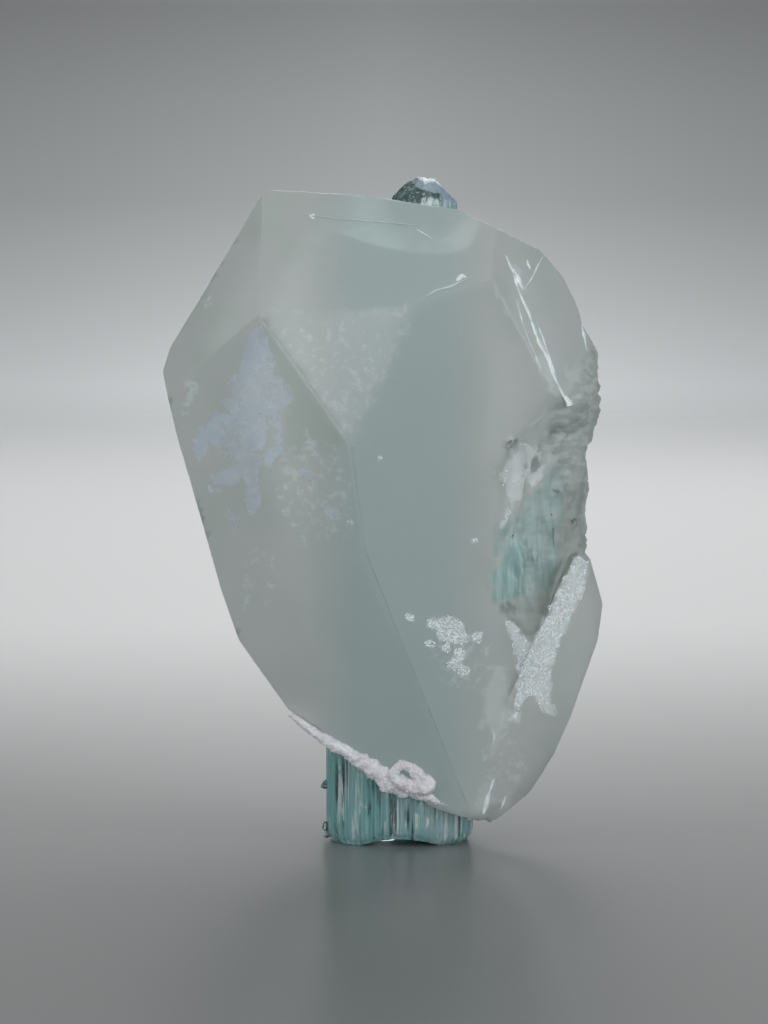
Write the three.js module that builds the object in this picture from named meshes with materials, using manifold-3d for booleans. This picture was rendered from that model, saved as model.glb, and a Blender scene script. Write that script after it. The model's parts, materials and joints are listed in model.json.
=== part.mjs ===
// Blue-green tourmaline prism grown together with a large milky quartz crystal.
// Millimetres, +Z up. The flat faces of the quartz look towards -Y, and the tourmaline
// stands upright behind them. While the shapes are worked out, the tourmaline's axis is Z.
import * as THREE from 'three';
import { ConvexGeometry } from 'three/addons/geometries/ConvexGeometry.js';
import { mergeVertices } from 'three/addons/utils/BufferGeometryUtils.js';
import Module from 'manifold-3d';

const wasm = await Module();
wasm.setup();

// Driving dimensions
const CLEARANCE = 0.3;              // gap where two minerals touch
const REACH = 160;                  // side of a block that stands for everything beyond a plane
const TIP_HEIGHT = 59.5;            // top of the tourmaline above its feet

// Tourmaline prism: a rounded triangle in section, one corner towards the back
const PRISM_RADIUS = 6.45;          // mean radius of the section
const PRISM_BULGE = 0.085;          // how far the corners stand out, as a share of the radius
const PRISM_DEPTH = 1.08;           // how much deeper than wide its section is
const SECTION_POINTS = 168;         // points round the striated section
const ENVELOPE_POINTS = 36;         // points round the plain section that clears it
const STRIATIONS = 46;              // grooves round the thick prism
const STRIATION_DEPTH = [0.1, 0.34];
const FOOT_ARCH = 0.62;             // rise of the hollow between the two front feet
const FOOT_ARCH_HALF = 3.5;         // half its width
const FOOT_ARCH_END = 0;            // how far back it runs
const FOOT_WEAR = [0.25, 0.6];      // chamfer round the base, at front and back and at the sides

// The slimmer crystal that carries the domed tip
const SPIRE_X = 2.15;
const SPIRE_RADIUS = 2.95;
const DOME_RISE = 2.5;               // height of the dome above the striated part
const SPIRE_POINTS = 84;
const SPIRE_STRIATIONS = 18;

// Quartz: how far forward the corner of its front faces stands, and how fast each face
// falls back per millimetre to the side (x) and up (z)
const FRONT = -12;
const BACK = 8.8;
const VALLEY_FLOOR = 5.0;           // depth of the valley at the back, measured from the axis
const FRONT_SLOPE = 0.62;
const CORNER_LEFT = [-12.32, 47.55];
const CORNER_RIGHT = [1.24, 48.33];
const CORNER_LOW = [-4.38, 36.31];
const LOWER_APEX = [-3.09, 26.76];

// Broken ground on the right flank: stairs with crooked edges, each a little lower
const STAIR_START = 8.7;            // where the first edge runs
const STAIR_PITCH = 1.75;           // from one edge to the next
const STAIR_FALL = 0.95;            // how much deeper each floor lies
const STAIR_TURN = 0.32;            // how steeply the floors fall away to the right, in radians
const STAIR_MIDDLE = 28;            // height of their middle

const HEART = new THREE.Vector3(-1, -3, 32);

function seeded(seed) {
  let state = seed;
  return function next() {
    state = (state * 16807) % 2147483647;
    return state / 2147483647;
  };
}

function between(random, low, high) {
  return low + (high - low) * random();
}

function toSolid(geometry) {
  geometry.deleteAttribute('normal');
  geometry.deleteAttribute('uv');
  const merged = mergeVertices(geometry, 1e-5);
  const vertProperties = new Float32Array(merged.attributes.position.array);
  const triVerts = new Uint32Array(merged.index.array);
  return new wasm.Manifold(new wasm.Mesh({ numProp: 3, vertProperties, triVerts }));
}

function toGeometry(solid) {
  const mesh = solid.getMesh();
  const geometry = new THREE.BufferGeometry();
  geometry.setAttribute('position', new THREE.BufferAttribute(new Float32Array(mesh.vertProperties), 3));
  geometry.setIndex(new THREE.BufferAttribute(new Uint32Array(mesh.triVerts), 1));
  geometry.computeVertexNormals();
  return geometry;
}

function point(x, y, z) {
  return new THREE.Vector3(x, y, z);
}

// Convex crystal through the given corners
function hull(corners) {
  return toSolid(new ConvexGeometry(corners.map(([x, y, z]) => point(x, y, z))));
}

// Everything on the far side of the plane through three corners, seen from an inner point
function beyond(a, b, c, inner = HEART, offset = 0) {
  const plane = new THREE.Plane().setFromCoplanarPoints(point(...a), point(...b), point(...c));
  if (plane.distanceToPoint(inner) > 0) {
    plane.negate();
  }
  const block = new THREE.BoxGeometry(REACH, REACH, REACH);
  block.translate(0, 0, REACH / 2 + offset);
  block.applyQuaternion(new THREE.Quaternion().setFromUnitVectors(point(0, 0, 1), plane.normal));
  const foot = plane.projectPoint(inner, new THREE.Vector3());
  block.translate(foot.x, foot.y, foot.z);
  return toSolid(block);
}

function cutAll(solid, planes, inner = HEART) {
  return planes.reduce((rest, [a, b, c]) => rest.subtract(beyond(a, b, c, inner)), solid);
}

// Upright prism over a section given as [x, y] points
function upright(section, bottom, top) {
  const shape = new THREE.Shape(section.map(([x, y]) => new THREE.Vector2(x, y)));
  const prism = new THREE.ExtrudeGeometry(shape, { depth: top - bottom, bevelEnabled: false });
  prism.translate(0, 0, bottom);
  return toSolid(prism);
}

// Slab over an outline given as [x, z] points, from one depth back to another
function slab(outline, front, back) {
  const shape = new THREE.Shape(outline.map(([x, z]) => new THREE.Vector2(x, z)));
  const plate = new THREE.ExtrudeGeometry(shape, { depth: back - front, bevelEnabled: false });
  plate.rotateX(Math.PI / 2);
  plate.translate(0, back, 0);
  return toSolid(plate);
}

// Radius of the rounded triangle at an angle, with a corner at the back
function trigonalRadius(angle, radius) {
  return radius * (1 + PRISM_BULGE * Math.cos(3 * (angle - Math.PI / 2)));
}

function grooveList(count, seed) {
  const random = seeded(seed);
  return Array.from({ length: count }, (unused, index) => ({
    angle: (index + between(random, -0.42, 0.42)) * 2 * Math.PI / count,
    width: between(random, 0.3, 0.72) * 2 * Math.PI / count,
    depth: between(random, ...STRIATION_DEPTH),
  }));
}

// Depth of the striations at an angle: each groove is a V with a rounded floor
function striationDepth(angle, grooves) {
  return grooves.reduce((deepest, groove) => {
    const turn = Math.atan2(Math.sin(angle - groove.angle), Math.cos(angle - groove.angle));
    const share = Math.max(0, 1 - Math.abs(turn) / groove.width);
    return Math.max(deepest, groove.depth * share * (2 - share));
  }, 0);
}

function section(radius, count, grooves, centreX = 0, stretch = 1) {
  return Array.from({ length: count }, (unused, index) => {
    const angle = index * 2 * Math.PI / count;
    const reach = trigonalRadius(angle, radius) - striationDepth(angle, grooves);
    return [centreX + reach * Math.cos(angle), stretch * reach * Math.sin(angle)];
  });
}

// Blunt three-sided end of the thick prism, hidden in the quartz apart from its back
function bluntEnd(lift) {
  const planes = [
    [[0, -8, 51.5], [8, -4, 52.2], [2, 2, 56.6]],
    [[-8, 0, 50.4], [-4, 7, 51.0], [2, 1, 56.6]],
    [[8, 2, 52.6], [3, 8, 52.0], [2, 1, 56.6]],
  ];
  return planes.map(([a, b, c]) => [a, b, c].map(([x, y, z]) => [x, y, z + lift]));
}

// Domed end of the spire: a faceted half egg with one broad face to the right
function dome(grow) {
  const egg = new THREE.SphereGeometry(SPIRE_RADIUS + grow, 16, 10);
  egg.rotateX(Math.PI / 2);
  egg.scale(1, 1, (DOME_RISE + grow) / (SPIRE_RADIUS + grow));
  egg.rotateZ(0.35);
  egg.translate(SPIRE_X, 0, TIP_HEIGHT - DOME_RISE);
  const broadFace = [
    [SPIRE_X + 1.1, -1, TIP_HEIGHT - 0.12 + grow],
    [SPIRE_X + 2.7, -1, TIP_HEIGHT - 1.75 + grow],
    [SPIRE_X + 1.4, 1.5, TIP_HEIGHT - 0.12 + grow],
  ];
  return cutAll(toSolid(egg), [broadFace], point(1, 0, 30));
}

// Thick prism and spire together; grow widens both sideways and upwards for the socket
function tourmalineBody(grow, striated) {
  const grooves = striated ? grooveList(STRIATIONS, 71) : [];
  const spireGrooves = striated ? grooveList(SPIRE_STRIATIONS, 19) : [];
  const count = striated ? SECTION_POINTS : ENVELOPE_POINTS;
  const spireCount = striated ? SPIRE_POINTS : ENVELOPE_POINTS;
  const outline = section(PRISM_RADIUS + grow, count, grooves, 0, PRISM_DEPTH);
  const thick = upright(outline, striated ? 0 : -1, 58);
  const spireTop = TIP_HEIGHT - DOME_RISE;
  const spire = upright(section(SPIRE_RADIUS + grow, spireCount, spireGrooves, SPIRE_X), 40, spireTop);
  return cutAll(thick, bluntEnd(grow), point(1, 0, 30)).add(spire).add(dome(grow));
}

// Shallow hollow under the front of the base, which leaves a foot on each side and one behind
function footArch() {
  const curve = Array.from({ length: 17 }, (unused, index) => {
    const along = -1 + index / 8;
    return [along * FOOT_ARCH_HALF, FOOT_ARCH * (1 - along * along)];
  });
  return slab([[FOOT_ARCH_HALF, -2], ...curve.reverse(), [-FOOT_ARCH_HALF, -2]], -12, FOOT_ARCH_END);
}

// Small crystals grown on the left flank near the base
function flankBumps() {
  return [[-6.75, -1.4, 4.9, 0.5], [-6.6, -2.1, 1.3, 0.55], [-6.5, -2.7, 0.62, 0.42]].map(([x, y, z, size]) => {
    const bump = new THREE.DodecahedronGeometry(size);
    bump.translate(x, y, z);
    return toSolid(bump);
  });
}

// The rim at the base is chamfered a little all round
function baseChamfer() {
  return Array.from({ length: 16 }, (unused, index) => {
    const turn = index * Math.PI / 8;
    const out = [Math.cos(turn), Math.sin(turn)];
    const wear = FOOT_WEAR[0] + (FOOT_WEAR[1] - FOOT_WEAR[0]) * Math.abs(out[0]);
    const radius = trigonalRadius(turn, PRISM_RADIUS);
    const side = [-out[1], out[0]];
    const low = [out[0] * (radius - wear), out[1] * (radius - wear) * PRISM_DEPTH, 0];
    const high = [out[0] * radius, out[1] * radius * PRISM_DEPTH, wear * 1.6];
    return [low, high, [low[0] + side[0], low[1] + side[1], 0]];
  });
}

function tourmaline() {
  const body = cutAll(tourmalineBody(0, true), baseChamfer(), point(0, 0, 30)).subtract(footArch());
  return flankBumps().reduce((whole, bump) => whole.add(bump), body);
}

// Depth of a front face at [x, z]: it passes through a corner and falls back at two slopes
function frontDepth(origin, depth, slopeX, slopeZ, [x, z]) {
  return depth + slopeX * (x - origin[0]) + slopeZ * (z - origin[1]);
}

const LEFT_SLOPES = [-0.293 * FRONT_SLOPE, -0.207 * FRONT_SLOPE];
const RIGHT_SLOPES = [0.278 * FRONT_SLOPE, -0.13 * FRONT_SLOPE];
const LOWER_SLOPES = [-0.166 * FRONT_SLOPE, -0.305 * FRONT_SLOPE];
const APEX_DEPTH = frontDepth(CORNER_LOW, FRONT, ...LEFT_SLOPES, LOWER_APEX);

function onLeft(place) {
  return [place[0], frontDepth(CORNER_LOW, FRONT, ...LEFT_SLOPES, place), place[1]];
}

function onRight(place) {
  return [place[0], frontDepth(CORNER_LOW, FRONT, ...RIGHT_SLOPES, place), place[1]];
}

function onLower(place) {
  return [place[0], frontDepth(LOWER_APEX, APEX_DEPTH, ...LOWER_SLOPES, place), place[1]];
}

// Corners used by more than one face of the quartz
const EDGE_LOW_LEFT = [-9.9, 12.4];
const EDGE_LOW_MIDDLE = [-5.5, 8.4];
const EDGE_LOW_RIGHT = [2.7, 3.7];

// The underside of the quartz, where it was joined to the foot of the tourmaline
function underside(offset) {
  const rise = 1.1;
  const a = [EDGE_LOW_LEFT[0], -8, EDGE_LOW_LEFT[1]];
  const b = [EDGE_LOW_RIGHT[0], -8, EDGE_LOW_RIGHT[1]];
  return beyond(a, b, [b[0], 4, b[2] + rise], HEART, offset);
}

// Outline of the main quartz crystal seen from the front, clockwise from its left corner
function quartzOutline() {
  return [
    [-20.9, 42.4], [-20.3, 44.4], [-16.9, 50], [-12.2, 57.9], [-11.3, 58.35], [-0.5, 57.7],
    [4.8, 56.8], [12.3, 53.1], [14.3, 50.9], [15.7, 48.2], [16.2, 46.4], [17, 45.1],
    [17.9, 42.4], [17.5, 38.2], [17.1, 36.4], [16.5, 34.9], [16.9, 32.8], [16.8, 31.1],
    [16.3, 29.3], [16.7, 26.9], [16.2, 25.5], [16, 20], [12.6, 8], [8.5, 2.6], [6.9, 2.35],
    EDGE_LOW_RIGHT, [-0.9, 5.4], EDGE_LOW_MIDDLE, EDGE_LOW_LEFT, [-14.3, 18.7], [-15.8, 23.1],
    [-17.3, 28.6], [-19.7, 37.1],
  ];
}

// Large flat faces at the front: upper, left, centre, right and lower
function frontFaces() {
  const top = [-8, -6.6, 58.2];
  return [
    [onLeft(CORNER_LEFT), onRight(CORNER_RIGHT), top],
    [onLeft(CORNER_LEFT), onLeft([-17.6, 43]), [-12.2, -6.6, 57.9]],
    [onLeft(CORNER_LEFT), onLeft(CORNER_LOW), onLeft(LOWER_APEX)],
    [[0, FRONT, 40], [5, FRONT, 40], [0, FRONT, 45]],
    [onRight(CORNER_RIGHT), onRight(CORNER_LOW), onRight(LOWER_APEX)],
    [onLower([0, 20]), onLower([5, 20]), onLower([0, 10])],
  ];
}

// Faces at the back and sides, each given by the outline edge it starts from and the depth
// where it meets the flat back
function backFaces() {
  return [
    [[-20.9, -4, 42.4], [-12.2, -2.6, 57.9], [-12, BACK, 44]],
    [[-20.9, -4, 42.4], [-17.3, -3, 28.6], [-12.4, BACK, 36]],
    [[-17.3, -3, 28.6], [-10, -1.2, 12.4], [-9.2, BACK, 24]],
    [[-11.3, -2.4, 58.35], [12.3, -2, 54], [2, BACK, 53.4]],
    [[12.3, -3, 53.1], [17.9, -1.4, 42.4], [10, BACK, 43]],
    [[17.5, 0, 42.4], [17, 0.4, 26], [11.6, BACK, 33]],
    [[16.5, -2.4, 20], [8.5, -4.2, 2.6], [9.4, BACK, 15]],
    [[0, BACK, 10], [5, BACK, 30], [-5, BACK, 30]],
  ];
}

// Valley down the middle of the back, where the ridge of the tourmaline lies open
function backValley() {
  const rim = BACK + 0.4;
  const high = VALLEY_FLOOR + 0.1;
  return hull([
    [-9.1, rim, 60], [-7.4, rim, 30], [-8.4, rim, 0], [8.9, rim, 60], [7.2, rim, 28], [8.2, rim, 0],
    [-4, VALLEY_FLOOR - 0.4, 60], [-3, high, 0], [4, VALLEY_FLOOR - 0.2, 60], [3, high, 0],
    [0, BACK + 6, 60], [0, BACK + 6, 0],
  ]);
}

// Chipped facets at the upper right, seen as bright edges
function upperRightFacets() {
  const top = [9.43, -9.5, 52.98];
  const low = onRight([14.9, 39.7]);
  return [
    [top, low, [17.7, -6.2, 43.4]],
    [[9.0, -8.9, 54.2], onRight([11.3, 49.4]), [13.2, -6.2, 53.2]],
    [onRight([13.0, 41.2]), onRight([15.5, 36.6]), [18.4, -4.2, 40.4]],
  ];
}

// Small faces that blunt the corners and edges at the back
function backCorners() {
  return [
    [[-19.6, -1.2, 40], [-18.2, -0.8, 47.5], [-16.8, 3.0, 42.5]],
    [[-13.4, 0.2, 55.4], [-8.2, 0.4, 57.9], [-9.6, 4.4, 53.6]],
    [[-15.2, 0.8, 24.2], [-12.2, 1.2, 15.4], [-11.0, 4.6, 21.5]],
    [[15.2, 1.4, 47.6], [16.8, 1.2, 40.2], [13.2, 4.6, 43.4]],
    [[14.9, 2.4, 33.2], [14.6, 1.8, 21.5], [12.0, 5.2, 27.2]],
  ];
}

// Stairs of the broken ground: each takes off what lies beyond a crooked edge, down to a floor
// that tilts a little more or less than the next
function flankStairs() {
  const random = seeded(31);
  const spans = [[17.4, 39.3], [19.2, 38.2], [19.6, 37.6], [21.5, 37.4], [23.0, 36.0]];
  return spans.map(([low, high], stair) => {
    const start = STAIR_START + stair * STAIR_PITCH;
    const edge = Array.from({ length: 8 }, (unused, index) => {
      const share = index / 7;
      const bow = 5.4 * (2 * share - 1) ** 4;
      return [start + bow + between(random, -0.75, 0.75), low + (high - low) * share];
    });
    const block = slab([...edge, [30, high], [30, low]], -14, 0);
    const ground = frontDepth(CORNER_LOW, FRONT, ...RIGHT_SLOPES, [STAIR_START, STAIR_MIDDLE]);
    const turn = STAIR_TURN + between(random, -0.08, 0.1);
    const tilt = between(random, -0.035, 0.035);
    return block
      .translate([-start, 0, -STAIR_MIDDLE])
      .rotate([0, 0, THREE.MathUtils.radToDeg(turn)])
      .rotate([THREE.MathUtils.radToDeg(tilt), 0, 0])
      .translate([start, ground + 0.35 + stair * STAIR_FALL, STAIR_MIDDLE]);
  });
}

// Angular chip out of the crystal, or piece on it: a squashed and turned twenty-sided block
function chip(random, place, size) {
  const block = new THREE.IcosahedronGeometry(size, 0);
  block.scale(1, between(random, 0.5, 0.9), between(random, 0.8, 1.7));
  block.rotateX(between(random, -0.6, 0.6));
  block.rotateZ(between(random, -1.2, 1.2));
  block.translate(...place);
  return toSolid(block);
}

// Pits over the broken ground, in rows across it, each a little above the stairs' mean floor
function flankPits() {
  const random = seeded(407);
  const ground = frontDepth(CORNER_LOW, FRONT, ...RIGHT_SLOPES, [STAIR_START, STAIR_MIDDLE]);
  return Array.from({ length: 21 }, (unused, index) => {
    const row = index % 7;
    const column = Math.floor(index / 7);
    const x = STAIR_START + 1.5 + column * 2.5 + between(random, -0.9, 0.9);
    const z = 26.4 + row * 1.6 + between(random, -0.6, 0.6);
    const size = between(random, 0.8, 1.6);
    const y = ground + (x - STAIR_START) * STAIR_FALL / STAIR_PITCH - size * 0.3;
    return chip(random, [x, y, z], size);
  });
}

// Chips along the back, where the quartz broke away from the ridge of the tourmaline
function backChips() {
  const random = seeded(2203);
  return Array.from({ length: 26 }, (unused, index) => {
    const side = index % 2 === 0 ? -1 : 1;
    const z = 11 + index * 1.68 + between(random, -0.8, 0.8);
    const y = VALLEY_FLOOR + between(random, 0.6, 3.8);
    const wall = 3.7 + (y - VALLEY_FLOOR) * 1.05;
    const x = side * (wall + between(random, -0.8, 0.2));
    return chip(random, [x, y, z], between(random, 1.2, 2.4));
  });
}

// Second quartz crystal, intergrown at the lower right and pointing down
function lobe() {
  return hull([
    [15.4, -7.6, 26.6], [17.0, -4.6, 25.6], [18.05, -5.4, 21.7], [17.6, -6.2, 18.5],
    [15.2, -7.2, 11.9], [12.9, -6.5, 6.5], [11.1, -5.6, 3.4], [9.3, -4.8, 2.15],
    [8, -5.0, 1.97], [7.2, -5.9, 2.5], [7.6, -7.8, 6.4], [9.6, -8.2, 13.6],
    [12.6, -8.2, 20.2], [14.5, -7.9, 24.4], [10.2, -1, 5.6], [15.8, 1.4, 14],
    [17.3, 2.0, 21.5], [15.6, 3.6, 26], [9.2, 2.5, 9], [11, 4.6, 16],
  ]);
}

function quartz() {
  const block = slab(quartzOutline(), FRONT - 1, BACK + 3);
  const faces = [...frontFaces(), ...backFaces(), ...upperRightFacets(), ...backCorners()];
  const crystal = cutAll(block, faces);
  const hollows = [backValley(), ...flankStairs(), ...flankPits(), ...backChips()];
  const chipped = hollows.reduce((rest, hollow) => rest.subtract(hollow), crystal);
  const grown = chipped.add(lobe()).subtract(underside(0));
  return grown.subtract(tourmalineBody(CLEARANCE, false));
}

// Everything within a clearance of the quartz near its lower front edge
function quartzEdgeKeepOut() {
  const inner = point(0, -6, 14);
  const block = new THREE.BoxGeometry(REACH, REACH, REACH);
  const front = [onLower([0, 20]), onLower([5, 20]), onLower([0, 10])];
  return toSolid(block).subtract(beyond(...front, inner, CLEARANCE)).subtract(underside(CLEARANCE));
}

// Blocky grains of the crust, strung along the edge where quartz and tourmaline meet, with
// a knob on the face of the quartz that leaves a small hole in its middle
function crustGrains() {
  const random = seeded(55);
  const route = new THREE.CatmullRomCurve3([
    point(-9.5, -7.9, 11.9), point(-5.7, -7.5, 8.5), point(-1.4, -7.3, 5.3), point(3.2, -7.2, 3.3),
  ]);
  const chain = Array.from({ length: 34 }, (unused, index) => {
    const place = route.getPoint(index / 33);
    const offset = [0, between(random, -0.35, 0.15), between(random, -0.35, 0.3)];
    return [place.x, place.y + offset[1], place.z + offset[2], between(random, 0.85, 1.15)];
  });
  const knob = [
    [-1.5, -8.0, 6.9, 0.95], [-0.6, -8.3, 7.7, 0.8], [0.5, -8.3, 7.9, 0.8], [1.4, -8.1, 7.2, 0.9],
    [2.3, -7.7, 6.1, 0.95], [2.9, -7.5, 5.1, 0.9], [1.2, -7.8, 5.7, 1.0], [0.0, -7.8, 5.8, 1.0],
    [-1.2, -7.8, 5.9, 0.95],
  ];
  return [...chain, ...knob].map(([x, y, z, size]) => chip(random, [x, y, z], size));
}

function albite() {
  const grains = crustGrains().reduce((whole, grain) => whole.add(grain));
  return grains.subtract(quartzEdgeKeepOut()).subtract(tourmalineBody(CLEARANCE, false));
}

function named(name, solid, color, roughness, metalness) {
  const material = new THREE.MeshStandardMaterial({ color, roughness, metalness });
  const mesh = new THREE.Mesh(toGeometry(solid), material);
  mesh.name = name;
  return mesh;
}

const specimen = new THREE.Group();
specimen.add(named('tourmaline_crystal', tourmaline(), 0x5f9593, 0.25, 0));
specimen.add(named('quartz_crystal', quartz(), 0x9caaa8, 0.35, 0));
specimen.add(named('albite_crust', albite(), 0xaab9bd, 0.8, 0));

// The origin is the middle of the whole specimen's box, at the level of the feet
const box = new THREE.Box3().setFromObject(specimen);
const middle = box.getCenter(new THREE.Vector3());
specimen.position.set(-middle.x, -middle.y, -box.min.z);

export default specimen;
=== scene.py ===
import itertools
import json
import math

import bmesh
import bpy
import numpy as np
from bpy.props import FloatProperty, FloatVectorProperty, IntProperty
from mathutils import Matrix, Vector


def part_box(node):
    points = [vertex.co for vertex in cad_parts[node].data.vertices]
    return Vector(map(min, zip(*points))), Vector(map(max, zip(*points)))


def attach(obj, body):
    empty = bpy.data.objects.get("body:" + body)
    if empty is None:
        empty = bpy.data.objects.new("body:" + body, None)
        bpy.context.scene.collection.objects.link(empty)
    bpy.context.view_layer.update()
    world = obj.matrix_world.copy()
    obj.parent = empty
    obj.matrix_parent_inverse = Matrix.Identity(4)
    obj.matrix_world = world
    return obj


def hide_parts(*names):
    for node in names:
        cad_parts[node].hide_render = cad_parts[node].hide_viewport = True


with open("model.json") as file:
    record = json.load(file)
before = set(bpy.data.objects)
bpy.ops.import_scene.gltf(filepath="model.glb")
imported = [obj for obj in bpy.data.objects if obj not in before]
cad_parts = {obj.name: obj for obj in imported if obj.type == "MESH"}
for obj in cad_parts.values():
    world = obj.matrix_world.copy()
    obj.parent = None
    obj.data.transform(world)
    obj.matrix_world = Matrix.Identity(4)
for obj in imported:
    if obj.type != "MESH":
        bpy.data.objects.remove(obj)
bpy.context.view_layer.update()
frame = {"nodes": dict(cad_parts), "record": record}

bl_info = {
    "name": "Tourmaline on Quartz",
    "version": (1, 0, 0),
    "blender": (4, 5, 0),
    "location": "3D View > Sidebar > Specimen",
    "description": "Finishes a striated tourmaline prism grown together with a hazy quartz crystal",
    "category": "Object",
}

# The frame's own sizes, in metres
MM = 0.001
PRISM_HIGH = np.array(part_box("tourmaline_crystal")[1])
FOOT = np.array(frame["record"]["mounts"][0]["pos_m"])
FOOT_BEHIND_AXIS = 3.0 * MM
PRISM_AXIS = np.array([FOOT[0], FOOT[1] - FOOT_BEHIND_AXIS])
TIP_HEIGHT = PRISM_HIGH[2]

# The tourmaline's rings: points round each one, and rings in each stretch from the foot up
RING_POINTS = 600
UNDER_RINGS = 6
SIDE_RINGS = 86
SHOULDER_RINGS = 10
SPIRE_RINGS = 14
DOME_RINGS = 16

# Lengths over which the striations swell and fade, and the slim crystal's own striations
SIDE_SPAN = 50 * MM
SPIRE_SPAN = 3 * MM
SPIRE_STRIATIONS = 26
SPIRE_STRIATION_DEPTH = 0.28 * MM
GROWTH_PATCHES = 70

# The foot's hollow: half its width, its height, and how soon it reaches that behind the prism's axis
FOOT_HOLLOW_HALF = 3.5 * MM
FOOT_HOLLOW_RISE = 0.62 * MM
FOOT_HOLLOW_RAMP = 1.5 * MM

# Planes that cut the domed tip: height over the spire's axis, then the slopes along x and y
DOME_PLANES = [
    (TIP_HEIGHT + 1.035 * MM, -1.05, 0.1),
    (TIP_HEIGHT + 0.45 * MM, 0.75, 0.3),
    (TIP_HEIGHT + 0.5 * MM, 0.15, -0.6),
]

# Three points of each face of the thick prism's blunt end, in millimetres from its axis
BLUNT_FACES = np.array([
    [[0, -8, 51.5], [8, -4, 52.2], [2, 2, 56.6]],
    [[-8, 0, 50.4], [-4, 7, 51.0], [2, 1, 56.6]],
    [[8, 2, 52.6], [3, 8, 52.0], [2, 1, 56.6]],
]) * MM

# The quartz: corners nearer than WELD are one, and an edge is sharp where its faces turn by SHARP_ANGLE
WELD = 0.002 * MM
FLAT_ANGLE = math.radians(0.3)
SHARP_ANGLE = math.radians(9)
SMOOTHING_ROUNDS = 14
SMOOTHING_SHARE = 0.7

# Depths behind the prism's axis, in millimetres, where the marks, the softened and the broken ground end
MARKS_END = -3.5
SOFT_END = 3.5
BROKEN_END = 2.5

# Corners of the box that holds the shards' seats, in millimetres, and how much each axis counts
SHARD_LOW = (7.5, -12, 17)
SHARD_HIGH = (21, 3, 46)
SHARD_STRETCH = (1, 1, 0.4)

# The crust: points round its section, rings of the strip and the knob, and grains over both
SECTION_POINTS = 32
STRIP_RINGS = 320
KNOB_RINGS = 120
CRUST_GRAINS = 2600
GRAINS_PER_SIDE_CRYSTAL = 9

# The floor's edge and rings
FLOOR_RADIUS = 1.1
FLOOR_RINGS = 24
FLOOR_POINTS = 96

# Camera: the photograph's frame, level of view and scale
PHOTO_HEIGHT = 1024
SENSOR = 36.0
VIEW_DISTANCE = 0.4
VIEW_ELEVATION = math.radians(4)
PIXEL_SIZE = 0.09 * MM
AIM = np.array([0.0, PRISM_AXIS[1], 29.45 * MM])

# Tones of the surroundings, each at a share of the way up
BACKDROP_TONES = [
    (0.0, 0.78), (0.14, 0.72), (0.19, 0.6), (0.24, 0.46), (0.286, 0.35), (0.34, 0.29), (0.39, 0.22),
    (0.43, 0.4), (0.48, 0.76), (0.56, 0.76), (0.65, 0.45), (0.75, 0.15), (1.0, 0.3),
]
SIDE_TONES = [(0.0, 0.75), (0.2, 0.88), (0.5, 1.12), (0.8, 0.88), (1.0, 0.75)]
FRONT_TONES = [(0.0, 0.75), (0.375, 0.95), (0.5, 0.78), (0.65, 0.45), (1.0, 0.22)]

# Lights: name, place and size in metres, power in watts, tint
LIGHTS = [
    ("Overhead", (-0.05, -0.1, 0.6), 0.7, 0.8, (1, 0.99, 0.97)),
    ("Front", (-0.1, -0.85, 0.17), 0.33, 1.3, (1, 1, 1)),
    ("Fill", (0.5, -0.35, 0.12), 0.4, 0.8, (0.93, 0.97, 1)),
    ("Back", (0.1, 0.5, 0.5), 0.5, 2.0, (1, 1, 1)),
]

# Marks on the front of the quartz, in millimetres: x to the right of the prism's axis, z above its foot
BLUE_PATCHES = [
    [(-12.7, 47.3), (-12.1, 46.2), (-11.4, 44.0), (-10.6, 42.0), (-9.5, 40.5), (-10.4, 38.9),
     (-12.1, 38.5), (-14.3, 38.3), (-15.6, 39.0), (-14.7, 41.4), (-13.5, 44.4)],
    [(-14.6, 38.6), (-12.1, 38.7), (-11.6, 36.6), (-12.7, 35.5), (-13.3, 34.0), (-14.9, 34.7),
     (-15.9, 36.2), (-17.0, 35.1), (-17.8, 34.1), (-18.4, 36.1), (-17.2, 37.6), (-15.6, 39.3)],
    [(-11.4, 39.2), (-10.3, 39.2), (-10.2, 37.5), (-10.2, 35.0), (-10.9, 34.7), (-11.2, 34.0),
     (-11.9, 34.1), (-11.4, 36.1), (-10.9, 37.5)],
    [(-13.1, 35.8), (-12.1, 34.7), (-12.1, 33.3), (-12.3, 30.3), (-13.5, 30.1), (-13.1, 32.2),
     (-13.5, 32.9), (-15.2, 32.6), (-16.8, 31.9), (-17.1, 32.7), (-15.4, 33.8)],
    [(-8.4, 36.3), (-7.4, 36.0), (-7.2, 35.1), (-8.1, 35.2)],
    [(-8.9, 34.1), (-7.9, 33.9), (-7.0, 32.4), (-7.3, 31.9), (-7.8, 33.0)],
    [(-6.2, 30.6), (-5.3, 31.1), (-5.2, 30.2), (-6.0, 29.4)],
    [(-14.7, 30.0), (-14.2, 29.9), (-14.1, 29.1), (-14.6, 29.0)],
]
VEIL_TRIANGLE = [
    (-12.0, 47.6), (1.0, 48.0), (0.0, 45.2), (-1.8, 41.5), (-4.5, 36.8), (-6.6, 39.3), (-7.9, 42.0),
    (-10.1, 45.0),
]
MOTTLED_ZONES = [
    VEIL_TRIANGLE,
    [(-10.5, 34.6), (-8.8, 37.9), (-5.7, 36.1), (-4.2, 32.2), (-4.8, 28.2), (-7.9, 27.4), (-11.0, 29.6)],
    [(-13.7, 21.6), (-13.4, 26.1), (-12.7, 27.1), (-12.6, 24.3), (-13.0, 21.5)],
    [(-11.9, 22.1), (-11.8, 26.1), (-10.9, 27.8), (-10.7, 24.7), (-11.2, 21.6)],
    [(2.4, 17.7), (3.9, 19.0), (7.0, 18.6), (8.3, 17.3), (7.0, 14.6), (4.3, 14.6)],
    [(7.0, 2.9), (7.4, 11.0), (8.2, 16.3), (9.8, 16.5), (10.0, 11.0), (11.6, 6.0), (9.6, 2.9)],
]
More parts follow.
